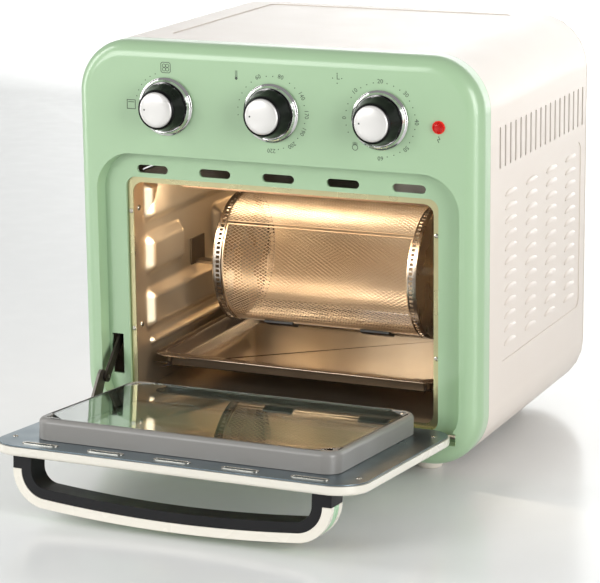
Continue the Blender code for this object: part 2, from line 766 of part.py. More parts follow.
def make_cavity():
    half = CAVITY_HALF + SHEET
    start, end = CAVITY_START, CAVITY_BACK_Y - GAP
    make_side_wall("cavity_wall_left", -1)
    make_side_wall("cavity_wall_right", 1)
    flat = [(-half, start), (half, start), (half, end), (-half, end)]
    roof = plate("cavity_roof", [flat] + fan_holes(), CAVITY_TOP_Z, CAVITY_TOP_Z + SHEET, "top", BODY)
    floor = plate("cavity_floor", [flat], CAVITY_LOW_Z - SHEET, CAVITY_LOW_Z, "top", BODY)
    low, high = CAVITY_LOW_Z - SHEET, CAVITY_TOP_Z + SHEET
    upright = [(-half, low), (half, low), (half, high), (-half, high)]
    back = plate("cavity_back", [upright], CAVITY_BACK_Y, CAVITY_BACK_Y + SHEET, "front", BODY)
    lip = MOUTH_LIP
    mouth = rounded(
        lip - CAVITY_HALF, CAVITY_HALF - lip, CAVITY_LOW_Z + lip, CAVITY_TOP_Z - lip, 0.008, steps=4
    )
    edge = 0.0065
    border = rounded(
        -CAVITY_HALF - edge, CAVITY_HALF + edge, CAVITY_LOW_Z - edge, CAVITY_TOP_Z + 0.0045, 0.004, steps=2
    )
    across = CAVITY_HALF + GAP
    holes = [disc((side * across, z), 0.0013, 8) for side in (-1, 1) for _, z in wall_screw_places()]
    frame = plate("mouth_frame", [border, mouth] + holes, MOUTH_Y, MOUTH_Y + SHEET, "front", BODY)
    for piece in (roof, floor, back, frame):
        dress(piece, CAVITY_STEEL)


# Heat, fan and spit drive


def make_heaters():
    left = 0.0295 - CAVITY_HALF
    right = CAVITY_HALF + 0.014
    for name, side in (("heater_front", -1), ("heater_rear", 1)):
        middle = SPIT_Y + side * HEATER_SPREAD
        path = [(right, middle - HEATER_BEND, HEATER_Z)]
        for across, along in arc((left, middle), HEATER_BEND, 270, 90, 8):
            path.append((across, along, HEATER_Z))
        path.append((right, middle + HEATER_BEND, HEATER_Z))
        dress(wire(name, path, HEATER_RADIUS, BODY), DARK_STEEL, 40)


def make_fan():
    axis = (0.0, SPIT_Y)
    base = CAVITY_TOP_Z + SHEET + GAP
    roof = base + FAN_HOUSING_HEIGHT
    radius = FAN_HOUSING_RADIUS
    can = [
        (0.005, roof), (radius, roof), (radius, base + SHEET), (radius + 0.006, base + SHEET),
        (radius + 0.006, base), (radius - SHEET, base), (radius - SHEET, roof - SHEET), (0.005, roof - SHEET),
    ]
    dress(turned("fan_housing", can, (*axis, 0.0), "+z", BODY, 24), STEEL, 30)

    motor_low, motor_high = roof + 0.003, roof + 0.026
    body = [
        (0.0, motor_high), (0.020, motor_high), (0.024, motor_high - 0.003), (0.024, motor_low),
        (SHAFT_RADIUS + 0.0004, motor_low), (SHAFT_RADIUS + 0.0004, motor_high - 0.008),
        (0.0, motor_high - 0.008),
    ]
    motor = turned("fan_motor", body, (*axis, 0.0), "+z", BODY, 18)
    for i in range(3):
        turn = 2 * math.pi * i / 3
        x, y = 0.018 * math.cos(turn), SPIT_Y + 0.018 * math.sin(turn)
        weld_on(motor, rod("post", 0.0025, (x, y, roof + GAP), (x, y, motor_low + 0.002), BODY, 10))
    dress(motor, DARK_STEEL, 30)

    wheel_low = CAVITY_TOP_Z + 0.004
    wheel_high = roof - 0.0045
    wheel = [
        (SHAFT_RADIUS + GAP, wheel_high), (FAN_RADIUS, wheel_high), (FAN_RADIUS, wheel_high - SHEET),
        (0.006, wheel_high - SHEET), (0.006, wheel_low + 0.002), (SHAFT_RADIUS + GAP, wheel_low + 0.002),
    ]
    impeller = turned("fan_impeller", wheel, (0.0, 0.0, 0.0), "+z", FAN_AXIS, 24)
    blades = []
    for i in range(8):
        blade = block(
            "blade", (0.010, -0.0006, wheel_low), (FAN_RADIUS - 0.001, 0.0006, wheel_high - SHEET / 2), FAN_AXIS
        )
        blade.location = Matrix.Rotation(math.pi * i / 4, 3, "Z") @ blade.location
        blade.rotation_euler.z = math.pi * i / 4
        blades.append(blade)
    weld_on(impeller, gather("blades", blades, FAN_AXIS))
    dress(impeller, STEEL)
    shaft = rod(
        "fan_shaft", SHAFT_RADIUS, (0.0, 0.0, wheel_low + 0.001), (0.0, 0.0, motor_high - 0.0085), FAN_AXIS, 12
    )
    dress(shaft, STEEL, 40)


def make_spit_drive():
    wall = CAVITY_HALF + SHEET + GAP
    near, far = wall + 0.005, HALF - CASING_SHEET - 0.006
    radius = SPIT_MOTOR_RADIUS
    bore = 0.0054
    body = [
        (0.0, far), (radius - 0.002, far), (radius, far - 0.002), (radius, near), (bore, near),
        (bore, near + 0.013), (0.0, near + 0.013),
    ]
    motor = turned("spit_motor", body, (0.0, SPIT_Y, SPIT_Z), "+x", BODY, 18)
    for side in (-1, 1):
        y = SPIT_Y + side * 0.017
        weld_on(motor, rod("post", 0.003, (wall, y, SPIT_Z), (near + 0.002, y, SPIT_Z), BODY, 10))
    dress(motor, DARK_STEEL, 30)

    tip = CAVITY_HALF - 0.0205
    socket = [(0.0, near + 0.012), (0.005, near + 0.012), (0.005, tip), (0.0, tip)]
    drive = turned("drive_socket", socket, (0.0, 0.0, 0.0), "+x", SPIT_AXIS, 20)
    half = SPIT_SQUARE / 2 + GAP
    cut(drive, block("cut_square", (tip - 0.002, -half, -half), (tip + 0.0125, half, half), SPIT_AXIS))
    dress(drive, STEEL, 40)

    back = -CAVITY_HALF + GAP
    face = back + SHEET
    end = -CAVITY_HALF + 0.0225
    low = SPIT_Z - 0.0088
    y, z = SPIT_Y, SPIT_Z
    support = block("spit_support", (back, y - 0.012, low - 0.0004), (face, y + 0.012, z + 0.012), BODY)
    shelf = block("shelf", (back + 0.0005, y - 0.006, low), (end - 0.0005, y + 0.006, low + 0.002), BODY)
    cradle = block("cradle", (end - 0.0015, y - 0.009, low - 0.0005), (end, y + 0.009, z + 0.006), BODY)
    weld_on(support, shelf, cradle)
    seat = SPIT_PIN_RADIUS + 0.0004
    ahead, behind = (end - 0.004, SPIT_Y, SPIT_Z), (end + 0.004, SPIT_Y, SPIT_Z)
    throat = block("cut_throat", (end - 0.004, y - seat, z), (end + 0.004, y + seat, z + 0.02), BODY)
    cut(support, rod("cut_seat", seat, ahead, behind, BODY, 20), throat)
    dress(support, DARK_STEEL)


# Basket


def basket_end(name, along, pin_end):
    """An end disc with its rolled rim and hub, and either a round pin or none."""
    near = BASKET_HALF
    radius = BASKET_RADIUS
    rim_start = near - BASKET_RIM_DEPTH
    hub, hub_end, skin = 0.008, near + 0.0033, 0.0009
    profile = [(0.0, pin_end), (SPIT_PIN_RADIUS, pin_end), (SPIT_PIN_RADIUS, hub_end), (hub, hub_end)]
    if pin_end <= hub_end:
        profile = [(0.0, hub_end), (hub, hub_end)]
    profile += [(hub, near), (radius - 0.0024, near), (radius - 2 * skin, near + skin), (radius, near + skin)]
    profile += [(radius, rim_start), (radius - skin, rim_start)]
    profile += [(radius - skin, near - SHEET), (0.0, near - SHEET)]
    return turned(name, profile, (0.0, 0.0, 0.0), along, SPIT_AXIS, 36)


def make_basket():
    left_end = CAVITY_HALF - 0.0165
    dress(basket_end("basket_end_left", "-x", left_end), BRIGHT_STEEL, 30)
    right = basket_end("basket_end_right", "+x", 0.0)
    half = SPIT_SQUARE / 2
    shaft = block("square", (BASKET_HALF + 0.002, -half, -half), (CAVITY_HALF - 0.009, half, half), SPIT_AXIS)
    dress(weld_on(right, shaft), BRIGHT_STEEL, 30)

    outer = BASKET_RADIUS - 0.0009 - 0.0005
    inner = outer - MESH_WALL
    drum_half = BASKET_HALF - 0.0012 - GAP
    start, end = LID_LATCH_ANGLE + 1.5, LID_HINGE_ANGLE - 0.8 + 360
    skin = sector(inner, outer, start, end, 40)
    drum = plate("basket_mesh", [skin], -drum_half, drum_half, "side", SPIT_AXIS)
    dress(drum, BRIGHT_STEEL, 30)

    turn = math.radians(LID_HINGE_ANGLE)
    reach = outer + 0.0008
    centre = (reach * math.sin(turn), -reach * math.cos(turn))
    lid_half = BASKET_HALF - BASKET_RIM_DEPTH - 0.0005
    shape = sector(inner, outer, LID_HINGE_ANGLE + 0.8, LID_LATCH_ANGLE, 20)
    shape = [(y + centre[0], z + centre[1]) for y, z in shape]
    dress(plate("basket_lid", [shape], -lid_half, lid_half, "side", LID_AXIS), BRIGHT_STEEL, 30)
    clip = sector(outer + GAP, outer + GAP + CLIP_SIZE[1], LID_LATCH_ANGLE - 8, LID_LATCH_ANGLE + 6, 4)
    clip = [(y + centre[0], z + centre[1]) for y, z in clip]
    span = CLIP_SIZE[0] / 2
    for name, middle in (("lid_clip_left", -CLIP_PLACE), ("lid_clip_right", CLIP_PLACE)):
        dress(plate(name, [clip], middle - span, middle + span, "side", LID_AXIS), BLACK)


def make_tray():
    """A shallow tray: flat floor, sloped wall and a flat lip, lofted as one skin."""
    half = CAVITY_HALF - TRAY_SIDE_GAP
    back = CAVITY_BACK_Y - TRAY_REAR_GAP
    rim, wall = TRAY_RIM_Z, TRAY_WALL
    floor = rim - TRAY_DEPTH
    levels = [
        (TRAY_LIP + 0.003, floor), (TRAY_LIP, rim - wall), (0.0, rim - wall), (0.0, rim),
        (TRAY_LIP + wall, rim), (TRAY_LIP + wall + 0.003, floor + wall),
    ]
    rings = []
    for inset, z in levels:
        corner = max(TRAY_CORNER - inset, 0.003)
        ring = rounded(inset - half, half - inset, TRAY_FRONT + inset, back - inset, corner, steps=5)
        rings.append([(x, y, z) for x, y in ring])
    dress(loft("drip_tray", rings, BODY), ENAMEL, 30)


# Door. In its own frame X runs along the hinge, Z up the shut door and Y into the oven.


def ring_cut(name, half, low, top, radius, near, far, chamfer=0.0):
    outline = rounded(-half, half, low, top, radius, steps=4)
    if chamfer:
        outline = [
            (half, low + chamfer), (half, top - chamfer), (half - chamfer, top), (chamfer - half, top),
            (-half, top - chamfer), (-half, low + chamfer), (chamfer - half, low), (half - chamfer, low),
        ]
    return plate(name, [outline], near, far, "front", DOOR_AXIS)


def gusset_screws():
    x, inset = FRAME_HALF - FRAME_LIP - 0.006, FRAME_LIP + 0.006
    return [(side * x, z) for side in (-1, 1) for z in (FRAME_LOW + inset, FRAME_TOP - inset)]


def plate_screws():
    x = DOOR_HALF - 0.010
    return [(side * x, z) for side in (-1, 1) for z in (0.022, DOOR_TOP - 0.028)]


def make_door():
    outline = rounded(-DOOR_HALF, DOOR_HALF, -DOOR_BELOW, DOOR_TOP, DOOR_LOW_RADIUS, DOOR_TOP_RADIUS)
    rim = plate("door_rim", [outline], -DOOR_OUT, DOOR_IN, "front", DOOR_AXIS, roll=(DOOR_EDGE, 3))
    window = (WINDOW_HALF, WINDOW_LOW, WINDOW_TOP, 0.006)
    glass_half, seat = WINDOW_HALF + 0.004, 0.0045
    glass_near, glass_far = DOOR_IN - GAP - GLASS, DOOR_IN - GAP
    low, top = WINDOW_LOW - seat, WINDOW_TOP + seat
    pocket = ring_cut("cut_pocket", glass_half + GAP, low, top, 0.004, glass_near - GAP, DOOR_IN + 0.002)
    cut(rim, ring_cut("cut_window", *window, -DOOR_OUT - 0.002, DOOR_IN + 0.002), pocket)
    for side in (-1, 1):
        start, end = (side * (DOOR_HALF - 0.024), 0.0, 0.0), (side * (DOOR_HALF + 0.002), 0.0, 0.0)
        cut(rim, rod("cut_pin", PIN_RADIUS + PIN_CLEARANCE, start, end, DOOR_AXIS, 12))
    dress(rim, CREAM, 30)
    glass = ring_cut("door_outer_glass", glass_half, low + GAP, top - GAP, 0.004, glass_near, glass_far)
    dress(glass, GLASS_FINISH)

    inset = 0.0015
    plate_near = DOOR_IN + GAP
    plate_far = plate_near + DOOR_PLATE
    shape = rounded(
        inset - DOOR_HALF, DOOR_HALF - inset, inset - DOOR_BELOW, DOOR_TOP - inset,
        DOOR_LOW_RADIUS - inset, DOOR_TOP_RADIUS - inset,
    )
    slots = air_slots(AIR_SLOT_Z - HINGE_Z - 0.002, AIR_SLOT[0], 0.004)
    holes = [disc(place, 0.0013, 8) for place in plate_screws()]
    opening = rounded(-WINDOW_HALF, WINDOW_HALF, WINDOW_LOW, WINDOW_TOP, 0.006, steps=4)
    outlines = [shape, opening] + slots + holes
    dress(plate("door_plate", outlines, plate_near, plate_far, "front", DOOR_AXIS), BLUE_STEEL)
    make_inner_frame(plate_far)
    make_door_hardware(plate_far)


def make_inner_frame(plate_far):
    """The raised frame that carries the inner pane, with a gusset and a screw in each corner."""
    near = plate_far + GAP
    outline = rounded(-FRAME_HALF, FRAME_HALF, FRAME_LOW, FRAME_TOP, FRAME_CORNER, steps=6)
    outline = [(-x, z) for x, z in outline]
    frame = plate("door_inner_frame", [outline], near, FRAME_REACH, "front", DOOR_AXIS)
    frame.rotation_euler = (math.pi / 2, 0.0, math.pi)
    roll_edge(frame.data, (FRAME_REACH - near) / 2, 0.004, 3)
    land = FRAME_LAND
    shoulder = FRAME_REACH - GLASS - GAP
    half, low, top, beyond = FRAME_HALF - land, FRAME_LOW + land, FRAME_TOP - land, FRAME_REACH + 0.002
    inside = ring_cut("cut_inside", half, low, top, 0.006, near - 0.002, beyond)
    lip = FRAME_LIP
    half, low, top = FRAME_HALF - lip, FRAME_LOW + lip, FRAME_TOP - lip
    seat = ring_cut("cut_seat", half, low, top, 0.0, shoulder, beyond, GUSSET)
    cut(frame, inside, seat)
    wells = [disc(place, 0.0028, 12) for place in gusset_screws()]
    cut(frame, plate("cut_wells", wells, FRAME_REACH - 0.0015, FRAME_REACH + 0.002, "front", DOOR_AXIS))
    dress(frame, WARM_GREY, 30)
    lip += GAP
    pane = ring_cut(
        "door_inner_glass", FRAME_HALF - lip, FRAME_LOW + lip, FRAME_TOP - lip, 0.0,
        shoulder + GAP, FRAME_REACH - GAP, GUSSET,
    )
    dress(pane, GLASS_FINISH)


def make_door_hardware(plate_far):
    for name, side in (("hinge_pin_left", -1), ("hinge_pin_right", 1)):
        start, end = (side * (DOOR_HALF - 0.023), 0.0, 0.0), (side * (RECESS_HALF + 0.001), 0.0, 0.0)
        dress(rod(name, PIN_RADIUS, start, end, DOOR_AXIS, 12), STEEL, 40)
    y, z = STAY_PIN
    foot = plate_far + GAP
    shape = [
        (foot, 0.0225), (y - 0.0023, z + 0.0003), (y + 0.0012, z - 0.0015), (y + 0.0054, z + 0.0020),
        (y + 0.0062, z + 0.0066), (y + 0.0034, z + 0.0100), (foot, 0.0385),
    ]
    bracket = plate("stay_bracket", [shape], -STAY_X - 0.0015, -STAY_X + 0.0005, "side", DOOR_AXIS)
    tab = block("tab", (-STAY_X, foot, 0.0235), (-STAY_X + 0.006, foot + SHEET, 0.0375), DOOR_AXIS)
    weld_on(bracket, tab)
    weld_on(bracket, rod("pin", 0.0015, (-STAY_X - 0.001, y, z), (-STAY_X + 0.0035, y, z), DOOR_AXIS, 12))
    dress(bracket, STEEL)


def handle_path(inset, start):
    """Half of the handle's shape at an inset from its outer face: (across, out) from leg to middle."""
    half = HANDLE_HALF - inset
    reach = DOOR_OUT + HANDLE_REACH
    radius = HANDLE_CORNER
    centre = (HANDLE_HALF - radius, radius - reach)
    points = [(half, -start)]
    points += arc(centre, radius - inset, 0, -82, ARC_STEPS)
    span = points[-1][0]
    first = points[-1][1]
    last = inset - reach - HANDLE_BOW
    steps = 6
    for i in range(1, steps + 1):
        share = 1 - i / steps
        points.append((span * share, last + (first - last) * share * share))
    return points


def handle_band(near, far, near_start, far_start):
    """The closed outline between two insets, both legs included."""
    outer = handle_path(near, near_start)
    inner = handle_path(far, far_start)
    whole = outer + [(-x, y) for x, y in outer[-2::-1]]
    hollow = inner + [(-x, y) for x, y in inner[-2::-1]]
    return whole + hollow[::-1]


def make_handle():
    front = DOOR_TOP - HANDLE_FRONT_DROP
    rear = front - HANDLE_DEPTH
    root_end = DOOR_OUT + HANDLE_ROOT
    band = handle_band(0.0, HANDLE_BAND, root_end + GAP, root_end + GAP)
    cover = plate("handle_cover", [band], rear, front, "top", DOOR_AXIS)
    width, depth = INLAY
    low, high = (rear + front - width) / 2, (rear + front + width) / 2
    groove = handle_band(-0.002, depth, root_end - 0.001, root_end - 0.001)
    cut(cover, plate("cut_groove", [groove], low, high, "top", DOOR_AXIS))
    dress(cover, CREAM_PLASTIC, 30)
    strip = handle_band(0.0002, depth - GAP, root_end + GAP, root_end + GAP)
    dress(plate("handle_inlay", [strip], low + GAP, high - GAP, "top", DOOR_AXIS), MINT, 30)

    start = DOOR_OUT + GAP
    near = HANDLE_BAND + GAP
    outer = handle_path(near, root_end)
    inner = handle_path(HANDLE_GRIP, start)
    outer = [(HANDLE_HALF, -start), (HANDLE_HALF, -root_end)] + outer
    whole = outer + [(-x, y) for x, y in outer[-2::-1]]
    hollow = inner + [(-x, y) for x, y in inner[-2::-1]]
    dress(plate("handle_grip", [whole + hollow[::-1]], rear, front, "top", DOOR_AXIS), BLACK, 30)


def make_stay():
    """The dark arm that holds the open door."""
    length = STAY_LENGTH
    shape = arc((0.0, 0.0), 0.0045, 180, 360, 8)
    shape += [(0.0035, 0.004), (0.0033, length * 0.6), (0.0025, length - 0.002)]
    shape += [(-0.0025, length), (-0.0040, length * 0.6), (-0.0042, length * 0.3)]
    near = -STAY_X + 0.0010
    arm = plate("stay_arm", [shape], near, near + STAY_SHEET, "side", STAY_AXIS)
    cut(arm, rod("cut_pin", 0.0018, (near - 0.002, 0.0, 0.0), (near + 0.004, 0.0, 0.0), STAY_AXIS, 12))
    dress(arm, DARK_STEEL)


# Controls


def make_knob(name, axis):
    """Chrome skirt, black grip on the shaft, and a pearl cap; distances run out from the front."""
    skirt = [
        (0.0152, 0.0004), (0.0212, 0.0004), (KNOB_SKIRT_RADIUS, 0.0012), (KNOB_SKIRT_RADIUS, 0.0030),
        (0.0205, 0.0050), (0.0194, 0.0054), (0.0188, 0.0042), (0.0152, 0.0042),
    ]
    dress(turned(name + "_knob_skirt", skirt, (0.0, 0.0, 0.0), "-y", axis, 28), CHROME, 30)
    bore, stem = KNOB_SHAFT_RADIUS + GAP, KNOB_STEM_RADIUS
    grip = [
        (0.0, 0.0166), (0.0136, 0.0166), (0.0136, 0.0184), (0.0139, 0.0184), (0.0150, 0.0172), (0.0182, 0.0070),
        (0.0186, 0.0045), (0.0149, 0.0045), (0.0149, 0.0006), (stem, 0.0006), (stem, -0.008), (bore, -0.008),
        (bore, 0.010), (0.0, 0.010),
    ]
    dress(turned(name + "_knob", grip, (0.0, 0.0, 0.0), "-y", axis, 24), BLACK, 30)
    cap = [
        (0.0, 0.0202), (0.0070, 0.0200), (0.0115, 0.0194), (0.0132, 0.0183), (0.0133, 0.0169), (0.0, 0.0169),
    ]
    dress(turned(name + "_knob_cap", cap, (0.0, 0.0, 0.0), "-y", axis, 24), PEARL, 40)
    shaft = rod(name + "_shaft", KNOB_SHAFT_RADIUS, (0.0, 0.018, 0.0), (0.0, -0.0095, 0.0), axis, 12)
    dress(shaft, STEEL, 40)


def make_controls():
    places = knob_places()
    bracket_low, bracket_high = RECESS_TOP_Z + 0.010, BODY_TOP - 0.020
    half = KNOB_PITCH + 0.034
    outline = rounded(-half, half, bracket_low, bracket_high, 0.005, steps=3)
    holes = [disc((x, KNOB_Z), 0.005, 16) for x in places.values()]
    dress(plate("control_bracket", [outline] + holes, BRACKET_Y, BRACKET_Y + SHEET, "front", BODY), STEEL)
    face = BRACKET_Y + SHEET + GAP
    bore = KNOB_SHAFT_RADIUS + GAP
    blocks = {"function": ("selector_switch", 0.021, 0.022), "timer": ("timer_unit", 0.0235, 0.030)}
    for key, (name, half_wide, depth) in blocks.items():
        x = places[key]
        low = (x - half_wide, face, KNOB_Z - half_wide)
        high = (x + half_wide, face + depth, KNOB_Z + half_wide)
        unit = block(name, low, high, BODY)
        weld_on(unit, rod("boss", 0.0047, (x, face + 0.002, KNOB_Z), (x, face - 0.004, KNOB_Z), BODY, 16))
        cut(unit, rod("cut_bore", bore, (x, face - 0.006, KNOB_Z), (x, face + 0.006, KNOB_Z), BODY, 12))
        dress(unit, BLACK)
    x = places["temperature"]
    can = [
        (0.0, 0.022), (0.017, 0.022), (0.018, 0.020), (0.018, 0.0), (0.0047, 0.0), (0.0047, -0.004),
        (bore, -0.004), (bore, 0.006), (0.0, 0.006),
    ]
    dress(turned("thermostat", can, (x, face, KNOB_Z), "+y", BODY, 16), STEEL, 30)
    for key, x in places.items():
        make_knob(key, KNOB_AXES[key])
    x, z = lamp_place()
    r = LAMP_RADIUS
    lens = [(0.0, 0.0035), (r * 0.6, 0.0031), (r, 0.0020), (r + 0.001, 0.0012), (r + 0.001, GAP), (r, GAP),
            (r, -0.008), (0.0, -0.008)]
    dress(turned("pilot_lamp", lens, (x, FRONT_Y, z), "-y", BODY, 14), RED, 40)


clear_scene()
PARTS = new_collection("rotisserie_oven")
CUTTERS = new_collection("cutters")

MINT = finish("mint_gloss", (0.37, 0.60, 0.40), 0.25)
CREAM = finish("cream_enamel", (0.80, 0.72, 0.63), 0.3)
CREAM_PLASTIC = finish("cream_plastic", (0.78, 0.72, 0.64), 0.4)
PEARL = finish("pearl", (0.82, 0.80, 0.75), 0.25)
STEEL = finish("zinc_steel", (0.55, 0.55, 0.54), 0.4, 1.0)
BRIGHT_STEEL = finish("bright_steel", (0.68, 0.66, 0.62), 0.25, 1.0)
DARK_STEEL = finish("dark_steel", (0.10, 0.095, 0.09), 0.45, 0.8)
CAVITY_STEEL = finish("cavity_steel", (0.55, 0.47, 0.37), 0.35, 1.0)
BLUE_STEEL = finish("door_steel", (0.30, 0.34, 0.37), 0.4, 0.9)
WARM_GREY = finish("frame_grey", (0.42, 0.40, 0.38), 0.45, 0.5)
CHROME = finish("chrome", (0.80, 0.80, 0.80), 0.08, 1.0)
BLACK = finish("black_plastic", (0.015, 0.015, 0.017), 0.35)
ENAMEL = finish("black_enamel", (0.012, 0.012, 0.014), 0.2)
RED = finish("red_lens", (0.75, 0.03, 0.02), 0.15)
GLASS_FINISH = finish("tinted_glass", (0.55, 0.68, 0.62), 0.05, alpha=0.35)

BODY = empty("body_frame", (0.0, SEAM_Y, 0.0))
DOOR_AXIS = empty("door_axis", (0.0, HINGE_Y, HINGE_Z), (DOOR_OPEN, 0.0, 0.0), BODY)
STAY_AXIS = empty("stay_axis", (0.0, *STAY_PIN), (STAY_LEAN - DOOR_OPEN, 0.0, 0.0), DOOR_AXIS)
SPIT_AXIS = empty("spit_axis", (0.0, SPIT_Y, SPIT_Z), parent=BODY)
LID_REACH = BASKET_RADIUS - 0.0006
LID_TURN = math.radians(LID_HINGE_ANGLE)
LID_AXIS = empty(
    "lid_axis", (0.0, -LID_REACH * math.sin(LID_TURN), LID_REACH * math.cos(LID_TURN)), parent=SPIT_AXIS
)
FAN_AXIS = empty("fan_axis", (0.0, SPIT_Y, 0.0), parent=BODY)
KNOB_AXES = {}
for key, x in knob_places().items():
    KNOB_AXES[key] = empty(key + "_axis", (x, FRONT_Y, KNOB_Z), parent=BODY)

make_fascia()
make_casing()
make_base()
make_back()
make_cavity()
make_heaters()
make_fan()
make_spit_drive()
make_basket()
make_tray()
make_door()
make_handle()
make_stay()
make_controls()
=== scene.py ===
# %% [markdown]
# # A countertop rotisserie oven
#
# The oven has a moulded green front, a cream sheet casing, a glass door that drops down, a mesh
# basket that turns on a spit, and a drip tray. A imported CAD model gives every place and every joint.
# This file gives the looks. Each cell builds one piece or one finish, and says why in that way.

import json
import math

import bmesh
import bpy
from mathutils import Matrix, Vector


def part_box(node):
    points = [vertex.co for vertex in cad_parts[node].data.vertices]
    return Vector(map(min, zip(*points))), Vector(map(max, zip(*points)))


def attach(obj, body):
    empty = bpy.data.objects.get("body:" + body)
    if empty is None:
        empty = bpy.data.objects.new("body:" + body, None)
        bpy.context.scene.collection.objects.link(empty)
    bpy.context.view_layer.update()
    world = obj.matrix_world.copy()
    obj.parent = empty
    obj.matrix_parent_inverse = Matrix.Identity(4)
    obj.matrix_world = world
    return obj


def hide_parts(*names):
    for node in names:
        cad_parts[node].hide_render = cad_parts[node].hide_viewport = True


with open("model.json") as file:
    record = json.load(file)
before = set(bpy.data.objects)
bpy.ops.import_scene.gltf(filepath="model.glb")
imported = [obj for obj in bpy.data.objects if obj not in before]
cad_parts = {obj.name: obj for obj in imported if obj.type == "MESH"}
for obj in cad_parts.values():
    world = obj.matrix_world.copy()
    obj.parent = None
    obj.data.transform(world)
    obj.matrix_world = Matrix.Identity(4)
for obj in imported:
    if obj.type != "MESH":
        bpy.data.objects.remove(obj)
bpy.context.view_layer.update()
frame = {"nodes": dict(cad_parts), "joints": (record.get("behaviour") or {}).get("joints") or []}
scene = bpy.context.scene

# %% [markdown]
# Every piece is drawn in millimetres, because the numbers are then easy to read. A drawing is put in
# place by one matrix at the end. The body's drawings are measured from the seam between the front
# and the casing, and the door's are measured from its hinge with the door standing shut.

# %% Places to draw in
MM = 0.001
seam_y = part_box("fascia")[1].y + 0.3 * MM
hinge = next(joint for joint in frame["joints"] if joint["name"] == "door_hinge")
DOOR_OPEN = math.radians(85.5)
BODY = Matrix.Translation((0, seam_y, 0)) @ Matrix.Scale(MM, 4)
DOOR = Matrix.Translation(hinge["pos_m"]) @ Matrix.Rotation(DOOR_OPEN, 4, "X") @ Matrix.Scale(MM, 4)
SPIT_Y, SPIT_Z = 102.0, 131.0
SPIT = BODY @ Matrix.Translation((0, SPIT_Y, SPIT_Z))
print("seam at", round(seam_y / MM, 3), "mm")

# %% [markdown]
# A flat shape is drawn in its own X and Y with its thickness along Z. These three matrices stand it
# up: facing the front, facing the side or lying flat.

# %% Ways to face
FRONT = Matrix(((1, 0, 0, 0), (0, 0, 1, 0), (0, 1, 0, 0), (0, 0, 0, 1)))
SIDE = Matrix(((0, 0, 1, 0), (1, 0, 0, 0), (0, 1, 0, 0), (0, 0, 0, 1)))
FLAT = Matrix.Identity(4)

# %% [markdown]
# Most sheet and moulded parts start as a flat plate with round corners. One square face is scaled,
# its corner points are beveled into arcs, and the face is extruded. That keeps the arcs exact and
# lets the two top corners have another radius than the low ones.


# %% A plate with round corners
def flat(left, right, low, top, level=0.0, across=1, up=1):
    """A flat grid between two corners."""
    bm = bmesh.new()
    bmesh.ops.create_grid(bm, x_segments=across, y_segments=up, size=0.5)
    bmesh.ops.scale(bm, vec=(right - left, top - low, 1), verts=bm.verts)
    bmesh.ops.translate(bm, vec=((left + right) / 2, (low + top) / 2, level), verts=bm.verts)
    return bm


def whole(bm):
    """All the points, edges and faces of a drawing."""
    return bm.verts[:] + bm.edges[:] + bm.faces[:]


def arcs(bm, corners, size, steps):
    """Rounds corner points of a flat drawing."""
    bmesh.ops.bevel(
        bm, geom=corners, offset=size, offset_type="OFFSET", segments=steps,
        profile=0.5, affect="VERTICES", material=-1,
    )


def shifted(bm, grown, vec):
    """Moves the points among what an extrusion made."""
    bmesh.ops.translate(bm, vec=vec, verts=[item for item in grown if isinstance(item, bmesh.types.BMVert)])


def plate(left, right, low, top, near, far, radius, top_radius=None, facing=FRONT, steps=10):
    """A plate between two corners and two depths, in millimetres."""
    bm = flat(left, right, low, top, near)
    middle = (low + top) / 2
    upper = [vert for vert in bm.verts if vert.co.y > middle]
    lower = [vert for vert in bm.verts if vert.co.y < middle]
    for corner, size in ((upper, radius if top_radius is None else top_radius), (lower, radius)):
        if size > 0:
            arcs(bm, corner, size, steps)
    shifted(bm, bmesh.ops.extrude_face_region(bm, geom=bm.faces[:])["geom"], (0, 0, far - near))
    bmesh.ops.transform(bm, matrix=facing, verts=bm.verts)
    bmesh.ops.recalc_face_normals(bm, faces=bm.faces)
    return bm


def slot(across, up, length, width, near, far, facing=FRONT, steps=5):
    """A short slot with round ends; length runs across, width runs up."""
    radius = min(length, width) / 2 * 0.998
    return plate(
        across - length / 2, across + length / 2, up - width / 2, up + width / 2,
        near, far, radius, facing=facing, steps=steps,
    )


# %% [markdown]
# Knobs, feet, discs and screws are turned pieces. Half of the outline is drawn as a few points and
# spun round, as on a lathe.


# %% A turned piece
AXES = {
    "-y": Matrix.Rotation(math.pi / 2, 4, "X"),
    "+y": Matrix.Rotation(-math.pi / 2, 4, "X"),
    "+x": Matrix.Rotation(math.pi / 2, 4, "Y"),
    "-x": Matrix.Rotation(-math.pi / 2, 4, "Y"),
    "+z": Matrix.Identity(4),
}


def turned(profile, along="+z", at=(0, 0, 0), steps=48):
    """Spins (radius, distance) points about an axis that points along a direction."""
    bm = bmesh.new()
    points = [bm.verts.new((radius, 0, far)) for radius, far in profile]
    lines = [bm.edges.new(pair) for pair in zip(points, points[1:])]
    bmesh.ops.spin(
        bm, geom=points + lines, cent=(0, 0, 0), axis=(0, 0, 1), angle=2 * math.pi,
        steps=steps, use_merge=True,
    )
    bmesh.ops.remove_doubles(bm, verts=bm.verts, dist=0.001)
    bmesh.ops.dissolve_degenerate(bm, edges=bm.edges, dist=0.0005)
    bmesh.ops.transform(bm, matrix=Matrix.Translation(at) @ AXES[along], verts=bm.verts)
    bmesh.ops.recalc_face_normals(bm, faces=bm.faces)
    return bm


def bar(low, high, facing=FLAT):
    """A straight bar between two corners."""
    bm = bmesh.new()
    bmesh.ops.create_cube(bm, size=1)
    bmesh.ops.scale(bm, vec=[b - a for a, b in zip(low, high)], verts=bm.verts)
    bmesh.ops.translate(bm, vec=[(a + b) / 2 for a, b in zip(low, high)], verts=bm.verts)
    bmesh.ops.transform(bm, matrix=facing, verts=bm.verts)
    return bm


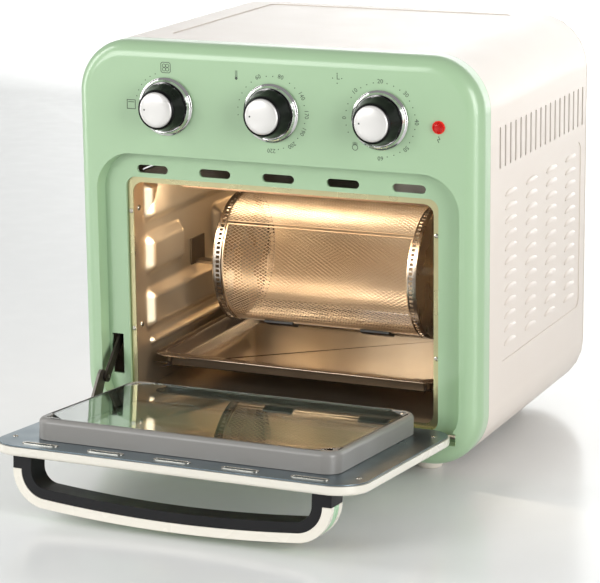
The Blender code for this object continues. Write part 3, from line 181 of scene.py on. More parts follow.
# %% [markdown]
# Holes are taken out with a Boolean. The tools are ordinary drawings. Tools that stay clear of each
# other are joined and cut at once, and tools that overlap are cut one after another.


# %% Joining and cutting
def joined(*parts):
    """One drawing out of several."""
    result = bmesh.new()
    for part in parts:
        mesh = bpy.data.meshes.new("part")
        part.to_mesh(mesh)
        part.free()
        result.from_mesh(mesh)
        bpy.data.meshes.remove(mesh)
    return result


def moved(bm, matrix):
    """A moved copy of a drawing."""
    copy = bm.copy()
    bmesh.ops.transform(copy, matrix=matrix, verts=copy.verts)
    return copy


def carved(bm, *tools, operation="DIFFERENCE", solver="EXACT"):
    """Takes the tools out of a drawing, or joins them to it."""
    holders = []
    for drawing in (bm, joined(*tools)):
        bmesh.ops.recalc_face_normals(drawing, faces=drawing.faces)
        mesh = bpy.data.meshes.new("work")
        drawing.to_mesh(mesh)
        drawing.free()
        holder = bpy.data.objects.new("work", mesh)
        scene.collection.objects.link(holder)
        holders.append(holder)
    step = holders[0].modifiers.new("Cut", "BOOLEAN")
    step.object = holders[1]
    step.operation = operation
    step.solver = solver
    bpy.context.view_layer.update()
    result = bmesh.new()
    result.from_object(holders[0], bpy.context.evaluated_depsgraph_get())
    for holder in holders:
        bpy.data.meshes.remove(holder.data)
    bmesh.ops.remove_doubles(result, verts=result.verts, dist=0.002)
    return result


# %% [markdown]
# No real edge is perfectly sharp. A small bevel on each sharp edge catches a thin line of light, and
# it is the cheapest way to make a drawing look made. The angle test leaves curved faces alone.


# %% Softened edges
def soften(bm, width, segments=2, angle=32, only=None):
    """Bevels the edges that turn by more than an angle, or those that a test picks."""
    sharp = []
    for edge in bm.edges:
        if len(edge.link_faces) == 2 and edge.calc_face_angle(0) > math.radians(angle):
            if only is None or only(edge):
                sharp.append(edge)
    bmesh.ops.bevel(
        bm, geom=sharp, offset=width, offset_type="OFFSET", segments=segments,
        profile=0.5, affect="EDGES", material=-1, clamp_overlap=True,
    )
    return bm


# %% [markdown]
# The last step of each piece is the same: millimetres become metres in place, the faces are smoothed
# except at sharp edges, the piece is hung on the body that carries it, and the CAD solids it stands for
# are hidden. Weighted normals keep the large flat faces flat next to their small bevels.


# %% Putting a piece in place
def finished(name, bm, place, body, material, stands_for=(), smooth=30, weighted=True, keep=False):
    """Makes the named object from a drawing."""
    if not keep:
        bmesh.ops.remove_doubles(bm, verts=bm.verts, dist=0.001)
        bmesh.ops.recalc_face_normals(bm, faces=bm.faces)
    bmesh.ops.transform(bm, matrix=place, verts=bm.verts)
    if place.determinant() < 0:
        bmesh.ops.reverse_faces(bm, faces=bm.faces)
    mesh = bpy.data.meshes.new(name)
    bm.to_mesh(mesh)
    bm.free()
    mesh.shade_smooth()
    mesh.set_sharp_from_angle(angle=math.radians(smooth))
    mesh.materials.append(material)
    piece = bpy.data.objects.new(name, mesh)
    scene.collection.objects.link(piece)
    if weighted:
        step = piece.modifiers.new("Weighted", "WEIGHTED_NORMAL")
        step.keep_sharp = True
    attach(piece, body)
    if stands_for:
        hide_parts(*stands_for)
    print(name, len(mesh.polygons), "faces")
    return piece


# %% [markdown]
# ## Finishes
#
# Several finishes share the same small faults, so each fault is a node group: slow changes of gloss
# where hands and cloths have been, a little drift of the colour, the fine waviness of a moulded or
# sprayed surface, and the fine lines of rolled or brushed steel. A group gives out only a number or
# a colour. The shader stays in the material, which keeps every finish easy to read and to export.


# %% Node group helper
def new_group(name, inputs, outputs):
    """An empty shader node group with named sockets."""
    group = bpy.data.node_groups.new(name, "ShaderNodeTree")
    for label, kind, value in inputs:
        socket = group.interface.new_socket(label, in_out="INPUT", socket_type=kind)
        socket.default_value = value
    for label, kind in outputs:
        group.interface.new_socket(label, in_out="OUTPUT", socket_type=kind)
    entry, end = group.nodes.new("NodeGroupInput"), group.nodes.new("NodeGroupOutput")
    return group, entry, end


def wire(tree, *joins):
    """Links sockets given as (node, output, node, input)."""
    for start, give, stop, take in joins:
        tree.links.new(start.outputs[give], stop.inputs[take])


def used(tree, group, **values):
    """A node that stands for one of the groups, with its constant values."""
    node = tree.nodes.new("ShaderNodeGroup")
    node.node_tree = group
    for label, value in values.items():
        node.inputs[label].default_value = value
    return node


NUMBER, COLOUR, VECTOR = "NodeSocketFloat", "NodeSocketColor", "NodeSocketVector"
WHITE = (1, 1, 1, 1)


# %% Gloss that varies
def build_handling():
    """Roughness that wanders between two values, as on a surface that is touched and wiped."""
    group, entry, end = new_group(
        "handling",
        [("Scale", NUMBER, 30.0), ("Low", NUMBER, 0.2), ("High", NUMBER, 0.3)],
        [("Roughness", NUMBER)],
    )
    nodes = group.nodes
    place, noise = nodes.new("ShaderNodeTexCoord"), nodes.new("ShaderNodeTexNoise")
    noise.inputs["Detail"].default_value = 1.5
    spread = nodes.new("ShaderNodeMapRange")
    spread.interpolation_type = "SMOOTHSTEP"
    spread.inputs["From Min"].default_value = 0.2
    spread.inputs["From Max"].default_value = 0.8
    wire(
        group,
        (place, "Object", noise, "Vector"),
        (entry, "Scale", noise, "Scale"),
        (noise, "Fac", spread, "Value"),
        (entry, "Low", spread, "To Min"),
        (entry, "High", spread, "To Max"),
        (spread, "Result", end, "Roughness"),
    )
    return group


HANDLING = build_handling()


# %% Colour that drifts
def build_drift():
    """A colour that moves a little towards a second one in soft patches."""
    group, entry, end = new_group(
        "colour_drift",
        [
            ("Colour", COLOUR, WHITE), ("Second", COLOUR, WHITE),
            ("Scale", NUMBER, 12.0), ("Amount", NUMBER, 0.3),
        ],
        [("Colour", COLOUR)],
    )
    nodes = group.nodes
    place, noise = nodes.new("ShaderNodeTexCoord"), nodes.new("ShaderNodeTexNoise")
    noise.inputs["Detail"].default_value = 5.0
    amount, mix = nodes.new("ShaderNodeMath"), nodes.new("ShaderNodeMix")
    amount.operation = "MULTIPLY"
    mix.data_type = "RGBA"
    wire(
        group,
        (place, "Object", noise, "Vector"),
        (entry, "Scale", noise, "Scale"),
        (noise, "Fac", amount, 0),
        (entry, "Amount", amount, 1),
        (amount, 0, mix, "Factor"),
        (entry, "Colour", mix, "A"),
        (entry, "Second", mix, "B"),
        (mix, "Result", end, "Colour"),
    )
    return group


DRIFT = build_drift()


# %% Fine waviness
def build_waviness():
    """A height for the slight orange peel of paint and moulded plastic, and for cast grain."""
    group, entry, end = new_group(
        "waviness", [("Scale", NUMBER, 400.0), ("Detail", NUMBER, 2.0)], [("Height", NUMBER)]
    )
    nodes = group.nodes
    place, noise = nodes.new("ShaderNodeTexCoord"), nodes.new("ShaderNodeTexNoise")
    wire(
        group,
        (place, "Object", noise, "Vector"),
        (entry, "Scale", noise, "Scale"),
        (entry, "Detail", noise, "Detail"),
        (noise, "Fac", end, "Height"),
    )
    return group


WAVINESS = build_waviness()


# %% Rolled and brushed lines
def build_brushing():
    """Long thin lines. Stretch is small along the lines and large across them."""
    group, entry, end = new_group(
        "brushing", [("Stretch", VECTOR, (6.0, 900.0, 900.0))], [("Height", NUMBER), ("Shade", NUMBER)]
    )
    nodes = group.nodes
    place, turn = nodes.new("ShaderNodeTexCoord"), nodes.new("ShaderNodeMapping")
    noise = nodes.new("ShaderNodeTexNoise")
    noise.inputs["Scale"].default_value = 1.0
    noise.inputs["Detail"].default_value = 3.0
    shade = nodes.new("ShaderNodeMapRange")
    shade.inputs["From Min"].default_value = 0.3
    shade.inputs["From Max"].default_value = 0.7
    wire(
        group,
        (place, "Object", turn, "Vector"),
        (entry, "Stretch", turn, "Scale"),
        (turn, "Vector", noise, "Vector"),
        (noise, "Fac", end, "Height"),
        (noise, "Fac", shade, "Value"),
        (shade, "Result", end, "Shade"),
    )
    return group


BRUSHING = build_brushing()
print("groups", [group.name for group in bpy.data.node_groups])


# %% [markdown]
# One recipe then makes all the painted, moulded and metal finishes. It sets the constant values on
# the shader's own sockets and feeds the changing ones from the groups. Colours are given as they
# look on a screen and are turned into linear light, which is what the renderer works in.


# %% The finish recipe
def linear(red, green, blue):
    """A screen colour out of 255 as linear light."""
    parts = [value / 255 for value in (red, green, blue)]
    return (*(x / 12.92 if x <= 0.04045 else ((x + 0.055) / 1.055) ** 2.4 for x in parts), 1.0)


def surface(
    name, colour, second, gloss, metal=0.0, coat=0.0, coat_gloss=0.05, drift=0.4, patch=14.0,
    wave=(500.0, 0.02), brush=None, brush_depth=0.05, specular=0.5,
):
    """A Principled finish. wave is (scale, depth in mm) and brush is the stretch of its lines."""
    made = bpy.data.materials.new(name)
    made.use_nodes = True
    tree = made.node_tree
    shader = tree.nodes["Principled BSDF"]
    shader.inputs["Metallic"].default_value = metal
    shader.inputs["Coat Weight"].default_value = coat
    shader.inputs["Coat Roughness"].default_value = coat_gloss
    shader.inputs["Specular IOR Level"].default_value = specular
    low, high = gloss
    tint = used(tree, DRIFT, Colour=linear(*colour), Second=linear(*second), Scale=patch, Amount=drift)
    wear = used(tree, HANDLING, Scale=35.0, Low=low, High=high)
    scale, depth = wave
    relief = [(used(tree, WAVINESS, Scale=scale), depth)]
    if brush:
        relief.append((used(tree, BRUSHING, Stretch=brush), brush_depth))
    last = None
    for source, depth in relief:
        bump = tree.nodes.new("ShaderNodeBump")
        bump.inputs["Distance"].default_value = depth * MM
        wire(tree, (source, "Height", bump, "Height"))
        if last:
            wire(tree, (last, "Normal", bump, "Normal"))
        last = bump
    wire(
        tree,
        (tint, "Colour", shader, "Base Color"),
        (wear, "Roughness", shader, "Roughness"),
        (last, "Normal", shader, "Normal"),
    )
    print("finish", name)
    return made


# %% [markdown]
# The green front and the cream casing are glossy: sprayed colour under a clear coat. The plastics are
# satin with a fine grain, and the steels show the lines of the rolling mill. Inside the cavity the
# steel has warmed to a brown tint, which is what heat does to stainless steel.

# %% Paint and plastic
MINT = surface(
    "mint_paint", (161, 191, 153), (158, 187, 150), (0.28, 0.33), coat=0.5, coat_gloss=0.12,
    wave=(60, 0.002), drift=0.4,
)
CREAM = surface(
    "cream_paint", (222, 211, 201), (216, 205, 194), (0.32, 0.38), coat=0.2, coat_gloss=0.15,
    wave=(60, 0.003), drift=0.4,
    specular=0.35,
)
DOOR_CREAM = surface(
    "door_cream", (226, 222, 210), (219, 213, 199), (0.24, 0.36), coat=0.5, wave=(300, 0.012)
)
HANDLE_CREAM = surface(
    "handle_cream", (232, 227, 214), (225, 218, 203), (0.24, 0.34), coat=0.5, wave=(300, 0.012)
)
HANDLE_MINT = surface(
    "handle_mint", (160, 200, 160), (154, 194, 154), (0.25, 0.35), coat=0.4, wave=(300, 0.01)
)
FOOT_PLASTIC = surface("foot_plastic", (224, 218, 206), (214, 206, 192), (0.45, 0.6), wave=(900, 0.04))
BLACK = surface("black_plastic", (22, 22, 23), (32, 31, 31), (0.28, 0.42), wave=(1400, 0.03), coat=0.1)
GRIP_BLACK = surface(
    "handle_black", (17, 17, 19), (25, 24, 25), (0.38, 0.50), wave=(1500, 0.03), specular=0.25
)
KNOB_BLACK = surface("knob_black", (8, 8, 9), (14, 13, 14), (0.24, 0.32), wave=(300, 0.005), specular=0.2)
KNOB_CAP = surface(
    "knob_cap", (222, 220, 216), (208, 206, 202), (0.26, 0.34), metal=0.25, coat=0.3, wave=(1500, 0.02)
)
FRAME_GREY = surface(
    "frame_grey", (138, 136, 132), (124, 121, 117), (0.34, 0.46), wave=(1100, 0.03), coat=0.15
)
PRINT = surface("dial_print", (62, 72, 62), (74, 84, 74), (0.5, 0.6), wave=(900, 0.01))

# %% Steel, enamel and glass
CHROME = surface("knob_chrome", (222, 220, 220), (205, 202, 202), (0.04, 0.09), metal=1.0, wave=(120, 0.01))
CAVITY = surface(
    "cavity_steel", (214, 199, 176), (182, 160, 130), (0.30, 0.40), metal=0.9, drift=0.7, patch=7.0,
    wave=(22, 0.03), brush=(900.0, 14.0, 900.0), brush_depth=0.006,
)
MOUTH = surface(
    "mouth_steel", (186, 180, 140), (160, 150, 112), (0.24, 0.36), metal=0.9,
    brush=(10.0, 900.0, 900.0), brush_depth=0.012,
)
DOOR_STEEL = surface(
    "door_steel", (116, 130, 138), (98, 112, 120), (0.26, 0.38), metal=0.85,
    brush=(8.0, 900.0, 900.0), brush_depth=0.015,
)
BASKET_STEEL = surface(
    "basket_wire", (206, 188, 164), (150, 122, 92), (0.30, 0.42), metal=0.9, drift=0.8, patch=40.0
)
END_STEEL = surface(
    "basket_ends", (168, 158, 146), (120, 106, 92), (0.20, 0.34), metal=1.0, drift=0.8, patch=22.0,
    brush=(900.0, 40.0, 900.0), brush_depth=0.02,
)
SPIT_STEEL = surface(
    "spit_steel", (118, 104, 88), (78, 64, 52), (0.3, 0.45), metal=0.9, drift=0.8, patch=60.0
)
ZINC = surface("zinc_steel", (186, 186, 182), (160, 160, 158), (0.35, 0.5), metal=0.9, wave=(120, 0.02))
BASE_STEEL = surface(
    "base_steel", (190, 188, 182), (165, 162, 156), (0.35, 0.5), metal=0.8, wave=(120, 0.02)
)
HINGE_STEEL = surface("hinge_steel", (150, 146, 138), (118, 112, 104), (0.3, 0.42), metal=0.95)
STAY_DARK = surface("stay_dark", (58, 54, 50), (82, 72, 60), (0.32, 0.45), metal=0.8, drift=0.7, patch=50.0)
# This bright steel also covers the door's slot lips, where it is a painted highlight.
SCREW_AND_HIGHLIGHT_STEEL = surface(
    "screw_steel_and_painted_highlight", (200, 196, 186), (150, 140, 126), (0.18, 0.3), metal=1.0, drift=0.5, patch=90.0
)
MOTOR_BLACK = surface("motor_black", (36, 36, 38), (50, 48, 46), (0.4, 0.55), metal=0.3)
SHEATH = surface(
    "heater_sheath", (86, 76, 68), (124, 96, 72), (0.38, 0.52), metal=0.7, drift=0.9, patch=70.0,
    wave=(700, 0.04),
)
ENAMEL = surface(
    "tray_enamel", (44, 37, 32), (74, 55, 40), (0.12, 0.22), metal=0.15, coat=0.7, coat_gloss=0.06,
    drift=0.8,
    patch=8.0, wave=(30, 0.02),
)


def clear(name, tint, roughness, ior=1.5):
    """A clear finish that lets light through."""
    made = surface(name, tint, tint, (roughness, roughness + 0.01), drift=0.0, wave=(20, 0.003))
    shader = made.node_tree.nodes["Principled BSDF"]
    shader.inputs["Transmission Weight"].default_value = 1.0
    shader.inputs["IOR"].default_value = ior
    return made


GLASS = clear("door_glass", (226, 236, 228), 0.0)
LAMP_RED = clear("lamp_red", (230, 40, 30), 0.04)
LAMP_SHADER = LAMP_RED.node_tree.nodes["Principled BSDF"]
LAMP_SHADER.inputs["Emission Color"].default_value = linear(255, 30, 20)
LAMP_SHADER.inputs["Emission Strength"].default_value = 0.25


# %% [markdown]
# ## The moulded front
#
# The front is one deep moulding with a broad rolled edge. A sunk seat takes the shut door, and the
# mouth of the cavity, a row of air slots and the holes for the controls go through it. The block is
# rolled first, then cut, and the new edges are softened last, so that each keeps its own radius.

# %% Front moulding
HALF, TOP, BASE_Z = 162.5, 318.0, 13.0
FACE = -22.0
AIR_SLOTS = [(index - 2) * 52.1 for index in range(5)]
KNOBS = {"function": -86.0, "temperature": 0.0, "timer": 86.0}
KNOB_Z = 270.5
LAMP = (130.9, FACE, 267.8)


def at_front(edge, level=FACE):
    """True for an edge that lies in the plane of the front face."""
    return all(abs(vert.co.y - level) < 0.01 for vert in edge.verts)


def bored(radius, at):
    """A tool for a round hole that goes into the front."""
    return turned([(0, -3), (radius, -3), (radius, 16), (0, 16)], "+y", at, 32)


front = plate(-HALF, HALF, BASE_Z, TOP, FACE, -0.3, 41, steps=20)
soften(front, 12, 12, 60, at_front)
seat = plate(-147.5, 147.5, 31, 233, -26, -12, 24.5, 29.5, steps=16)
narrowed = [vert for vert in seat.verts if vert.co.y > -13]
bmesh.ops.scale(seat, vec=(145 / 147.5, 1, 0.994), space=Matrix.Translation((0, 0, -132)), verts=narrowed)
notch = plate(-144.3, 144.3, 31.5, 41, -24, -12, 1)
hollow = plate(-159.5, 159.5, 16, 315, -9.8, 1, 38, steps=16)
controls = plate(-154.5, 154.5, 235.5, 310, -19, -9, 3, 33, steps=12)
mouth = plate(-127, 127, 38, 213, -24, 1, 8, steps=8)
holes = [slot(x, 219.5, 26, 6.3, -24, 0) for x in AIR_SLOTS]
holes += [bored(7, (x, FACE, KNOB_Z)) for x in KNOBS.values()]
holes.append(bored(4.3, LAMP))
stay_slot = bar((-142.7, -24, 56.55), (-132.8, 0, 88.25))
for tool in (seat, hollow, controls, notch, mouth):
    front = carved(front, tool)
front = carved(front, stay_slot, *holes)
soften(front, 0.9, 3, 38, lambda edge: max(vert.co.y for vert in edge.verts) < -11.9)
finished("front_moulding", front, BODY, "root", MINT, ["fascia"])

# %% [markdown]
# ## The casing
#
# The casing is a thin painted sheet bent round the whole body. It is drawn as a tube: a plate with
# the outline of the body loses its inside. The flat panels are sunk a little, and the vents at the top
# of each side and the narrow slits under the louvres go right through.

# %% Casing sheet
shell = plate(-HALF, HALF, BASE_Z, TOP, 0, 226.2, 41, steps=20)
soften(shell, 1.2, 3, 60, lambda edge: at_front(edge, 226.2))
inside = plate(-161, 161, 14.5, 316.5, -1, 228, 39.5, steps=20)
shell = carved(shell, inside)
panels = []
for side in (-1, 1):
    near, far = sorted((side * 161.9, side * 164))
    panels.append(plate(23, 213.8, 85, 220, near, far, 8, facing=SIDE, steps=8))
panels.append(plate(-105, 105, 23, 213.8, 317.4, 320, 8, facing=FLAT, steps=8))
panels.append(plate(-120.5, 120.5, 26.5, 200, 12, 16, 8, facing=FLAT))
shell = carved(shell, *panels)
LOUVRE_Y = [118.4 + (column - 1.5) * 47.3 for column in range(4)]
LOUVRE_Z = [152.5 + (row - 5.5) * 10.3 for row in range(12)]
VENT_Y = [118.4 + (index - 8.5) * 11.5 for index in range(18)]
slits = [slot(y, z, 25, 1.5, -170, 170, SIDE, 2) for y in LOUVRE_Y for z in LOUVRE_Z]
slits += [slot(y, 247.5, 3.2, 31, -170, 170, SIDE, 4) for y in VENT_Y]
shell = carved(shell, *slits, solver="MANIFOLD")
soften(shell, 0.35, 2, 40)
finished("casing_sheet", shell, BODY, "root", CREAM, ["casing"])

# %% [markdown]
# Each louvre is a shallow hood pressed out of the sheet, open along its low side. Half of a flattened
# ball makes the hood, and the same few faces are repeated 96 times.

# %% Louvre hoods
hoods = bmesh.new()
for side in (-1, 1):
    hood = bmesh.new()
    bmesh.ops.create_uvsphere(hood, u_segments=16, v_segments=10, radius=1)
    bmesh.ops.rotate(hood, cent=(0, 0, 0), matrix=Matrix.Rotation(math.pi / 2, 3, "X"), verts=hood.verts)
    bmesh.ops.scale(hood, vec=(1.45, 13.2, 3.6), verts=hood.verts)
    for at, away in (((0, 0, -0.6), (0, 0, -1)), ((-0.3 * side, 0, 0), (-side, 0, 0))):
        bmesh.ops.bisect_plane(hood, geom=whole(hood), plane_co=at, plane_no=away, clear_outer=True)
    bmesh.ops.solidify(hood, geom=hood.faces[:], thickness=0.35)
    for y in LOUVRE_Y:
        for z in LOUVRE_Z:
            hoods = joined(hoods, moved(hood, Matrix.Translation((side * 161.9, y, z + 0.4))))
    hood.free()
finished("louvre_hoods", hoods, BODY, "root", CREAM, weighted=False, smooth=50)

# %% [markdown]
# ## Controls
#
# Each knob has three turned parts: a flared chrome skirt, a black grip that ends in a ring of shallow
# lobes, and a pale satin cap with a pointer dot. The lobes are made by moving the points of the
# turned grip outwards and inwards in step with their angle, most at its root and not at all at its
# top.

# %% Knob parts
SKIRT = [
    (15.2, 0.4), (21.2, 0.4), (22.0, 0.9), (22.0, 1.5), (21.7, 1.9), (21.0, 2.0), (20.4, 2.5),
    (19.9, 3.6), (19.5, 4.9),
    (19.2, 5.3), (18.9, 5.2), (18.7, 4.4), (15.2, 4.3), (15.2, 0.4),
]
GRIP = [
    (0, 16.4), (13.5, 16.4), (13.6, 18.2), (13.9, 18.4), (14.3, 18.2), (14.8, 17.5), (15.3, 15.8),
    (16.0, 13.0), (16.8, 10.5),
    (17.5, 8.6), (18.1, 6.9), (18.3, 5.6), (18.0, 4.8), (15.0, 4.7), (0, 4.7),
]
CAP = [
    (0, 20.2), (4.0, 20.15), (7.5, 19.95), (10.5, 19.6), (12.2, 19.1), (13.0, 18.5), (13.25, 17.9),
    (13.3, 17.0), (0, 17.0),
]
LOBES = 9


def lobed_grip():
    """The turned grip with its ring of lobes."""
    bm = turned(GRIP, "+z", steps=108)
    for vert in bm.verts:
        radius, angle = math.hypot(vert.co.x, vert.co.y), math.atan2(vert.co.y, vert.co.x)
        root = max(0.0, min(1.0, (13.5 - vert.co.z) / 8.5))
        if radius > 14:
            share = 1 + 0.045 * root * (abs(math.cos(LOBES * angle / 2)) ** 0.6 - 0.85)
            vert.co.x *= share
            vert.co.y *= share
    return bm


for name, x in KNOBS.items():
    here = BODY @ Matrix.Translation((x, FACE, KNOB_Z)) @ AXES["-y"]
    body = name + "_dial"
    for end, bm, slot_name, material, node in (
        ("_skirt", turned(SKIRT, steps=72), "knob_chrome", CHROME, "_knob_skirt"),
        ("_grip", lobed_grip(), "knob_black", KNOB_BLACK, "_knob"),
        ("_cap", turned(CAP, steps=72), "knob_cap", KNOB_CAP, "_knob_cap"),
    ):
        finished(name + end, bm, here, body, material, [name + node], weighted=False, smooth=50)
    dot = turned([(0, 0), (0.75, 0), (0.65, 0.18), (0, 0.22)], at=(-8.6, 0, 19.75), steps=16)
    finished(name + "_dot", dot, here, body, PRINT, weighted=False)

# %% [markdown]
# The marks round the knobs are a thin print. Text objects become meshes before they are placed, and
# the icons are drawn from short bars and rings. Each number stands with its foot towards its knob.
# All of the print is one piece, a hair proud of the paint.

# %% Dial print
PRINT_Y = FACE - 0.06
ONTO_FRONT = Matrix.Rotation(math.pi / 2, 4, "X")
marks = []


def drawn(holder):
    """A drawing of the mesh that a curve or text object shows; the object is used up."""
    bpy.context.view_layer.update()
    graph = bpy.context.evaluated_depsgraph_get()
    mesh = bpy.data.meshes.new_from_object(holder.evaluated_get(graph), depsgraph=graph)
    bm = bmesh.new()
    bm.from_mesh(mesh)
    bpy.data.meshes.remove(mesh)
    bpy.data.objects.remove(holder)
    return bm


def on_dial(x, z, turn):
    """Stands a flat mark on the front, turned clockwise by degrees."""
    return Matrix.Translation((x, PRINT_Y, z)) @ ONTO_FRONT @ Matrix.Rotation(-math.radians(turn), 4, "Z")


def printed(label, x, z, turn, size=4.6):
    """A short number, centred on a point and turned clockwise by degrees."""
    words = bpy.data.curves.new("label", "FONT")
    words.body = label
    words.size = size
    words.align_x, words.align_y = "CENTER", "CENTER"
    words.extrude = 0.04
    words.offset = -0.02
    words.resolution_u = 2
    holder = bpy.data.objects.new("label", words)
    scene.collection.objects.link(holder)
    bm = drawn(holder)
    bmesh.ops.transform(bm, matrix=on_dial(x, z, turn), verts=bm.verts)
    marks.append(bm)


def stroke(x, z, length, width=0.45, turn=0.0):
    """A thin straight line of print."""
    bm = bar((-length / 2, -width / 2, -0.04), (length / 2, width / 2, 0.04))
    marks.append(moved(bm, on_dial(x, z, turn)))
    bm.free()


def ring(x, z, radius, width=0.45, steps=24):
    """A ring of print, or a dot when the radius is no more than the width."""
    inner = max(radius - width, 0)
    profile = [(inner, -0.04), (radius, -0.04), (radius, 0.04), (inner, 0.04)]
    profile += [] if inner == 0 else [(inner, -0.04)]
    marks.append(turned(profile, "-y", (x, PRINT_Y, z), steps))


def round_knob(centre, radius, angle):
    """A point round a knob; the angle runs clockwise from the top."""
    turn = math.radians(angle)
    return centre + radius * math.sin(turn), KNOB_Z + radius * math.cos(turn)


def dots(centre, angles, radius=27.2):
    """A row of dots round a knob."""
    for angle in angles:
        ring(*round_knob(centre, radius, angle), 0.42, steps=10)


dots(KNOBS["function"], (-75, -64, -53, -42, -31, -20), 25.5)
dots(KNOBS["temperature"], (-96, -84, -72, -60, -48, -36, -8, 3, 33, 44, 75, 103, 130, 160, 169))
HEATS = {60: -22, 80: 16, 140: 60, 170: 89, 190: 116, 200: 145, 220: 181}
for heat, angle in HEATS.items():
    printed(str(heat), *round_knob(0, 28, angle), angle)
dots(KNOBS["timer"], [step * 11.25 for step in range(-10, 16) if step % 4])
for index, angle in enumerate(range(-90, 181, 45)):
    printed(str(index * 10), *round_knob(KNOBS["timer"], 28, angle), angle)

# %% Dial icons
oven_x, oven_z = KNOBS["function"] - 29.5, KNOB_Z
for sign in (-1, 1):
    stroke(oven_x + sign * 3.4, oven_z, 7.2, turn=90)
    stroke(oven_x, oven_z + sign * 3.4, 7.2)
stroke(oven_x, oven_z + 1.8, 5.0)
fan_x, fan_z = KNOBS["function"], KNOB_Z + 29.2
for quarter in range(4):
    turn = math.radians(45 + 90 * quarter)
    ring(fan_x + 1.9 * math.sin(turn), fan_z + 1.9 * math.cos(turn), 1.5, 0.4, 16)
    corner = math.radians(90 * quarter)
    stroke(fan_x + 3.9 * math.sin(corner), fan_z + 3.9 * math.cos(corner), 5.6, turn=90 * quarter)
    stroke(fan_x + 4.76 * math.sin(turn), fan_z + 4.76 * math.cos(turn), 1.6, turn=45 + 90 * quarter)
stroke(-27.5, KNOB_Z + 27.5, 5.0, 0.5, 90)
stroke(-28.7, KNOB_Z + 27.5, 5.0, 0.3, 90)
ring(-28.1, KNOB_Z + 24.2, 1.1, 1.1, 16)
clock_x, clock_z = KNOBS["timer"] - 33.5, KNOB_Z + 28.5
stroke(clock_x, clock_z + 1.2, 3.4, turn=90)
stroke(clock_x + 0.9, clock_z - 0.5, 2.2)
for quarter in range(4):
    turn = math.radians(90 * quarter)
    ring(clock_x + 3.6 * math.sin(turn), clock_z + 3.6 * math.cos(turn), 0.42, steps=10)
hand_x, hand_z = round_knob(KNOBS["timer"], 28.5, -136)
ring(hand_x, hand_z - 0.8, 2.3, 0.4, 20)
for finger in (-1.5, -0.5, 0.5, 1.5):
    stroke(hand_x + finger, hand_z + 2.2 - 0.3 * abs(finger), 2.4, 0.35, 90)
stroke(131.3, 260.2, 2.6, 0.5, 60)
stroke(130.9, 259.0, 1.8, 0.4, 0)
stroke(130.5, 257.8, 2.6, 0.5, 60)
finished("dial_print", joined(*marks), BODY, "root", PRINT, weighted=False)

# %% [markdown]
# The pilot lamp is a red jewel: a short turned body whose top is cut into facets, so it sparkles. A low
# number of spin steps makes the facets by itself.

# %% Pilot lamp
jewel = turned(
    [(0, -5), (3.9, -5), (3.9, 0), (4.9, 0), (4.9, 0.9), (4.2, 2.0), (2.4, 3.1), (0, 3.5)], "-y", LAMP,
    12,
)
finished("lamp_jewel", jewel, BODY, "root", LAMP_RED, ["pilot_lamp"], smooth=10, weighted=False)

# %% [markdown]
# ## Screws
#
# The same small screw holds the back, the cavity walls, the mouth frame and the door. Its domed head
# is turned, a cross is cut in it once, and the result is copied to each place.

# %% Screw heads
def screw_head(radius, height=0.9):
    """A domed head with a cross recess, on the XY plane."""
    edge = [(0, -0.5), (radius, -0.5), (radius, 0.15)]
    dome = turned(edge + [(radius * 0.8, height * 0.75), (radius * 0.4, height), (0, height)], steps=20)
    wide, narrow = radius * 0.62, radius * 0.15
    dome = carved(dome, bar((-wide, -narrow, height * 0.35), (wide, narrow, 3)))
    return carved(dome, bar((-narrow, -wide, height * 0.35), (narrow, wide, 3)))


SCREW = screw_head(2.2)


def screws(name, places, along, place, body, size=1.0):
    """One piece with a screw head at each place."""
    heads = [moved(SCREW, Matrix.Translation(at) @ AXES[along] @ Matrix.Scale(size, 4)) for at in places]
    return finished(name, joined(*heads), place, body, SCREW_AND_HIGHLIGHT_STEEL, weighted=False, smooth=40)


WALL_Z = (185.5, 93)
places = [(side * 144.5, 228, z) for side in (-1, 1) for z in (58, 273)] + [(0, 228, 308), (0, 228, 23)]
screws("back_screws", places, "+y", BODY, "root", 1.2)
places = [(side * 124.6, -9.5, z) for side in (-1, 1) for z in WALL_Z]
screws("mouth_screws", places, "-y", BODY, "root", 0.85)
for name, x, along in (("left", -124.5, "+x"), ("right", 124.5, "-x")):
    places = [(x, 3.6, z) for z in WALL_Z]
    screws("wall_screws_" + name, places, along, BODY, "root", 1.1)

# %% [markdown]
# ## The cavity
#
# The side walls are pressed steel: broad raised pads with sloped edges that stiffen the sheet and
# guide the tray. A fine grid of points is pushed inwards by a smooth rule, as a press tool does. The
# rule measures how far a point lies inside the rounded outline of each pad.

# %% Pressed side walls
PADS = [
    (9, 201, 170, 207, 6.5, 9), (9, 75.5, 128, 164, 6.5, 9), (128.5, 201, 128, 164, 6.5, 9),
    (9, 201, 84, 121, 6.5, 9), (15, 201, 72, 81, 3.5, 3.6),
]


def pressed(y, z):
    """How far the press has pushed the sheet inwards at a point."""
    depth = 0.0
    for low_y, high_y, low_z, high_z, height, slope in PADS:
        corner = min(9.0, (high_z - low_z) / 2)
        across = max(low_y + corner - y, y - high_y + corner)
        up = max(low_z + corner - z, z - high_z + corner)
        outside = math.hypot(max(across, 0), max(up, 0)) + min(max(across, up), 0) - corner
        share = max(0.0, min(1.0, -outside / slope))
        depth = max(depth, height * share * share * (3 - 2 * share))
    return depth


def side_wall(side):
    """A grid between the mouth and the back, pressed towards the middle of the oven."""
    bm = flat(-7.85, 211.65, 40.9, 210.1, 124.6, 148, 116)
    for vert in bm.verts:
        vert.co.z -= pressed(vert.co.x, vert.co.y)
    bmesh.ops.transform(bm, matrix=SIDE, verts=bm.verts)
    bmesh.ops.solidify(bm, geom=bm.faces[:], thickness=-0.9)
    if side < 0:
        bmesh.ops.transform(bm, matrix=Matrix.Scale(-1, 4, (1, 0, 0)), verts=bm.verts)
    bmesh.ops.recalc_face_normals(bm, faces=bm.faces)
    return bm


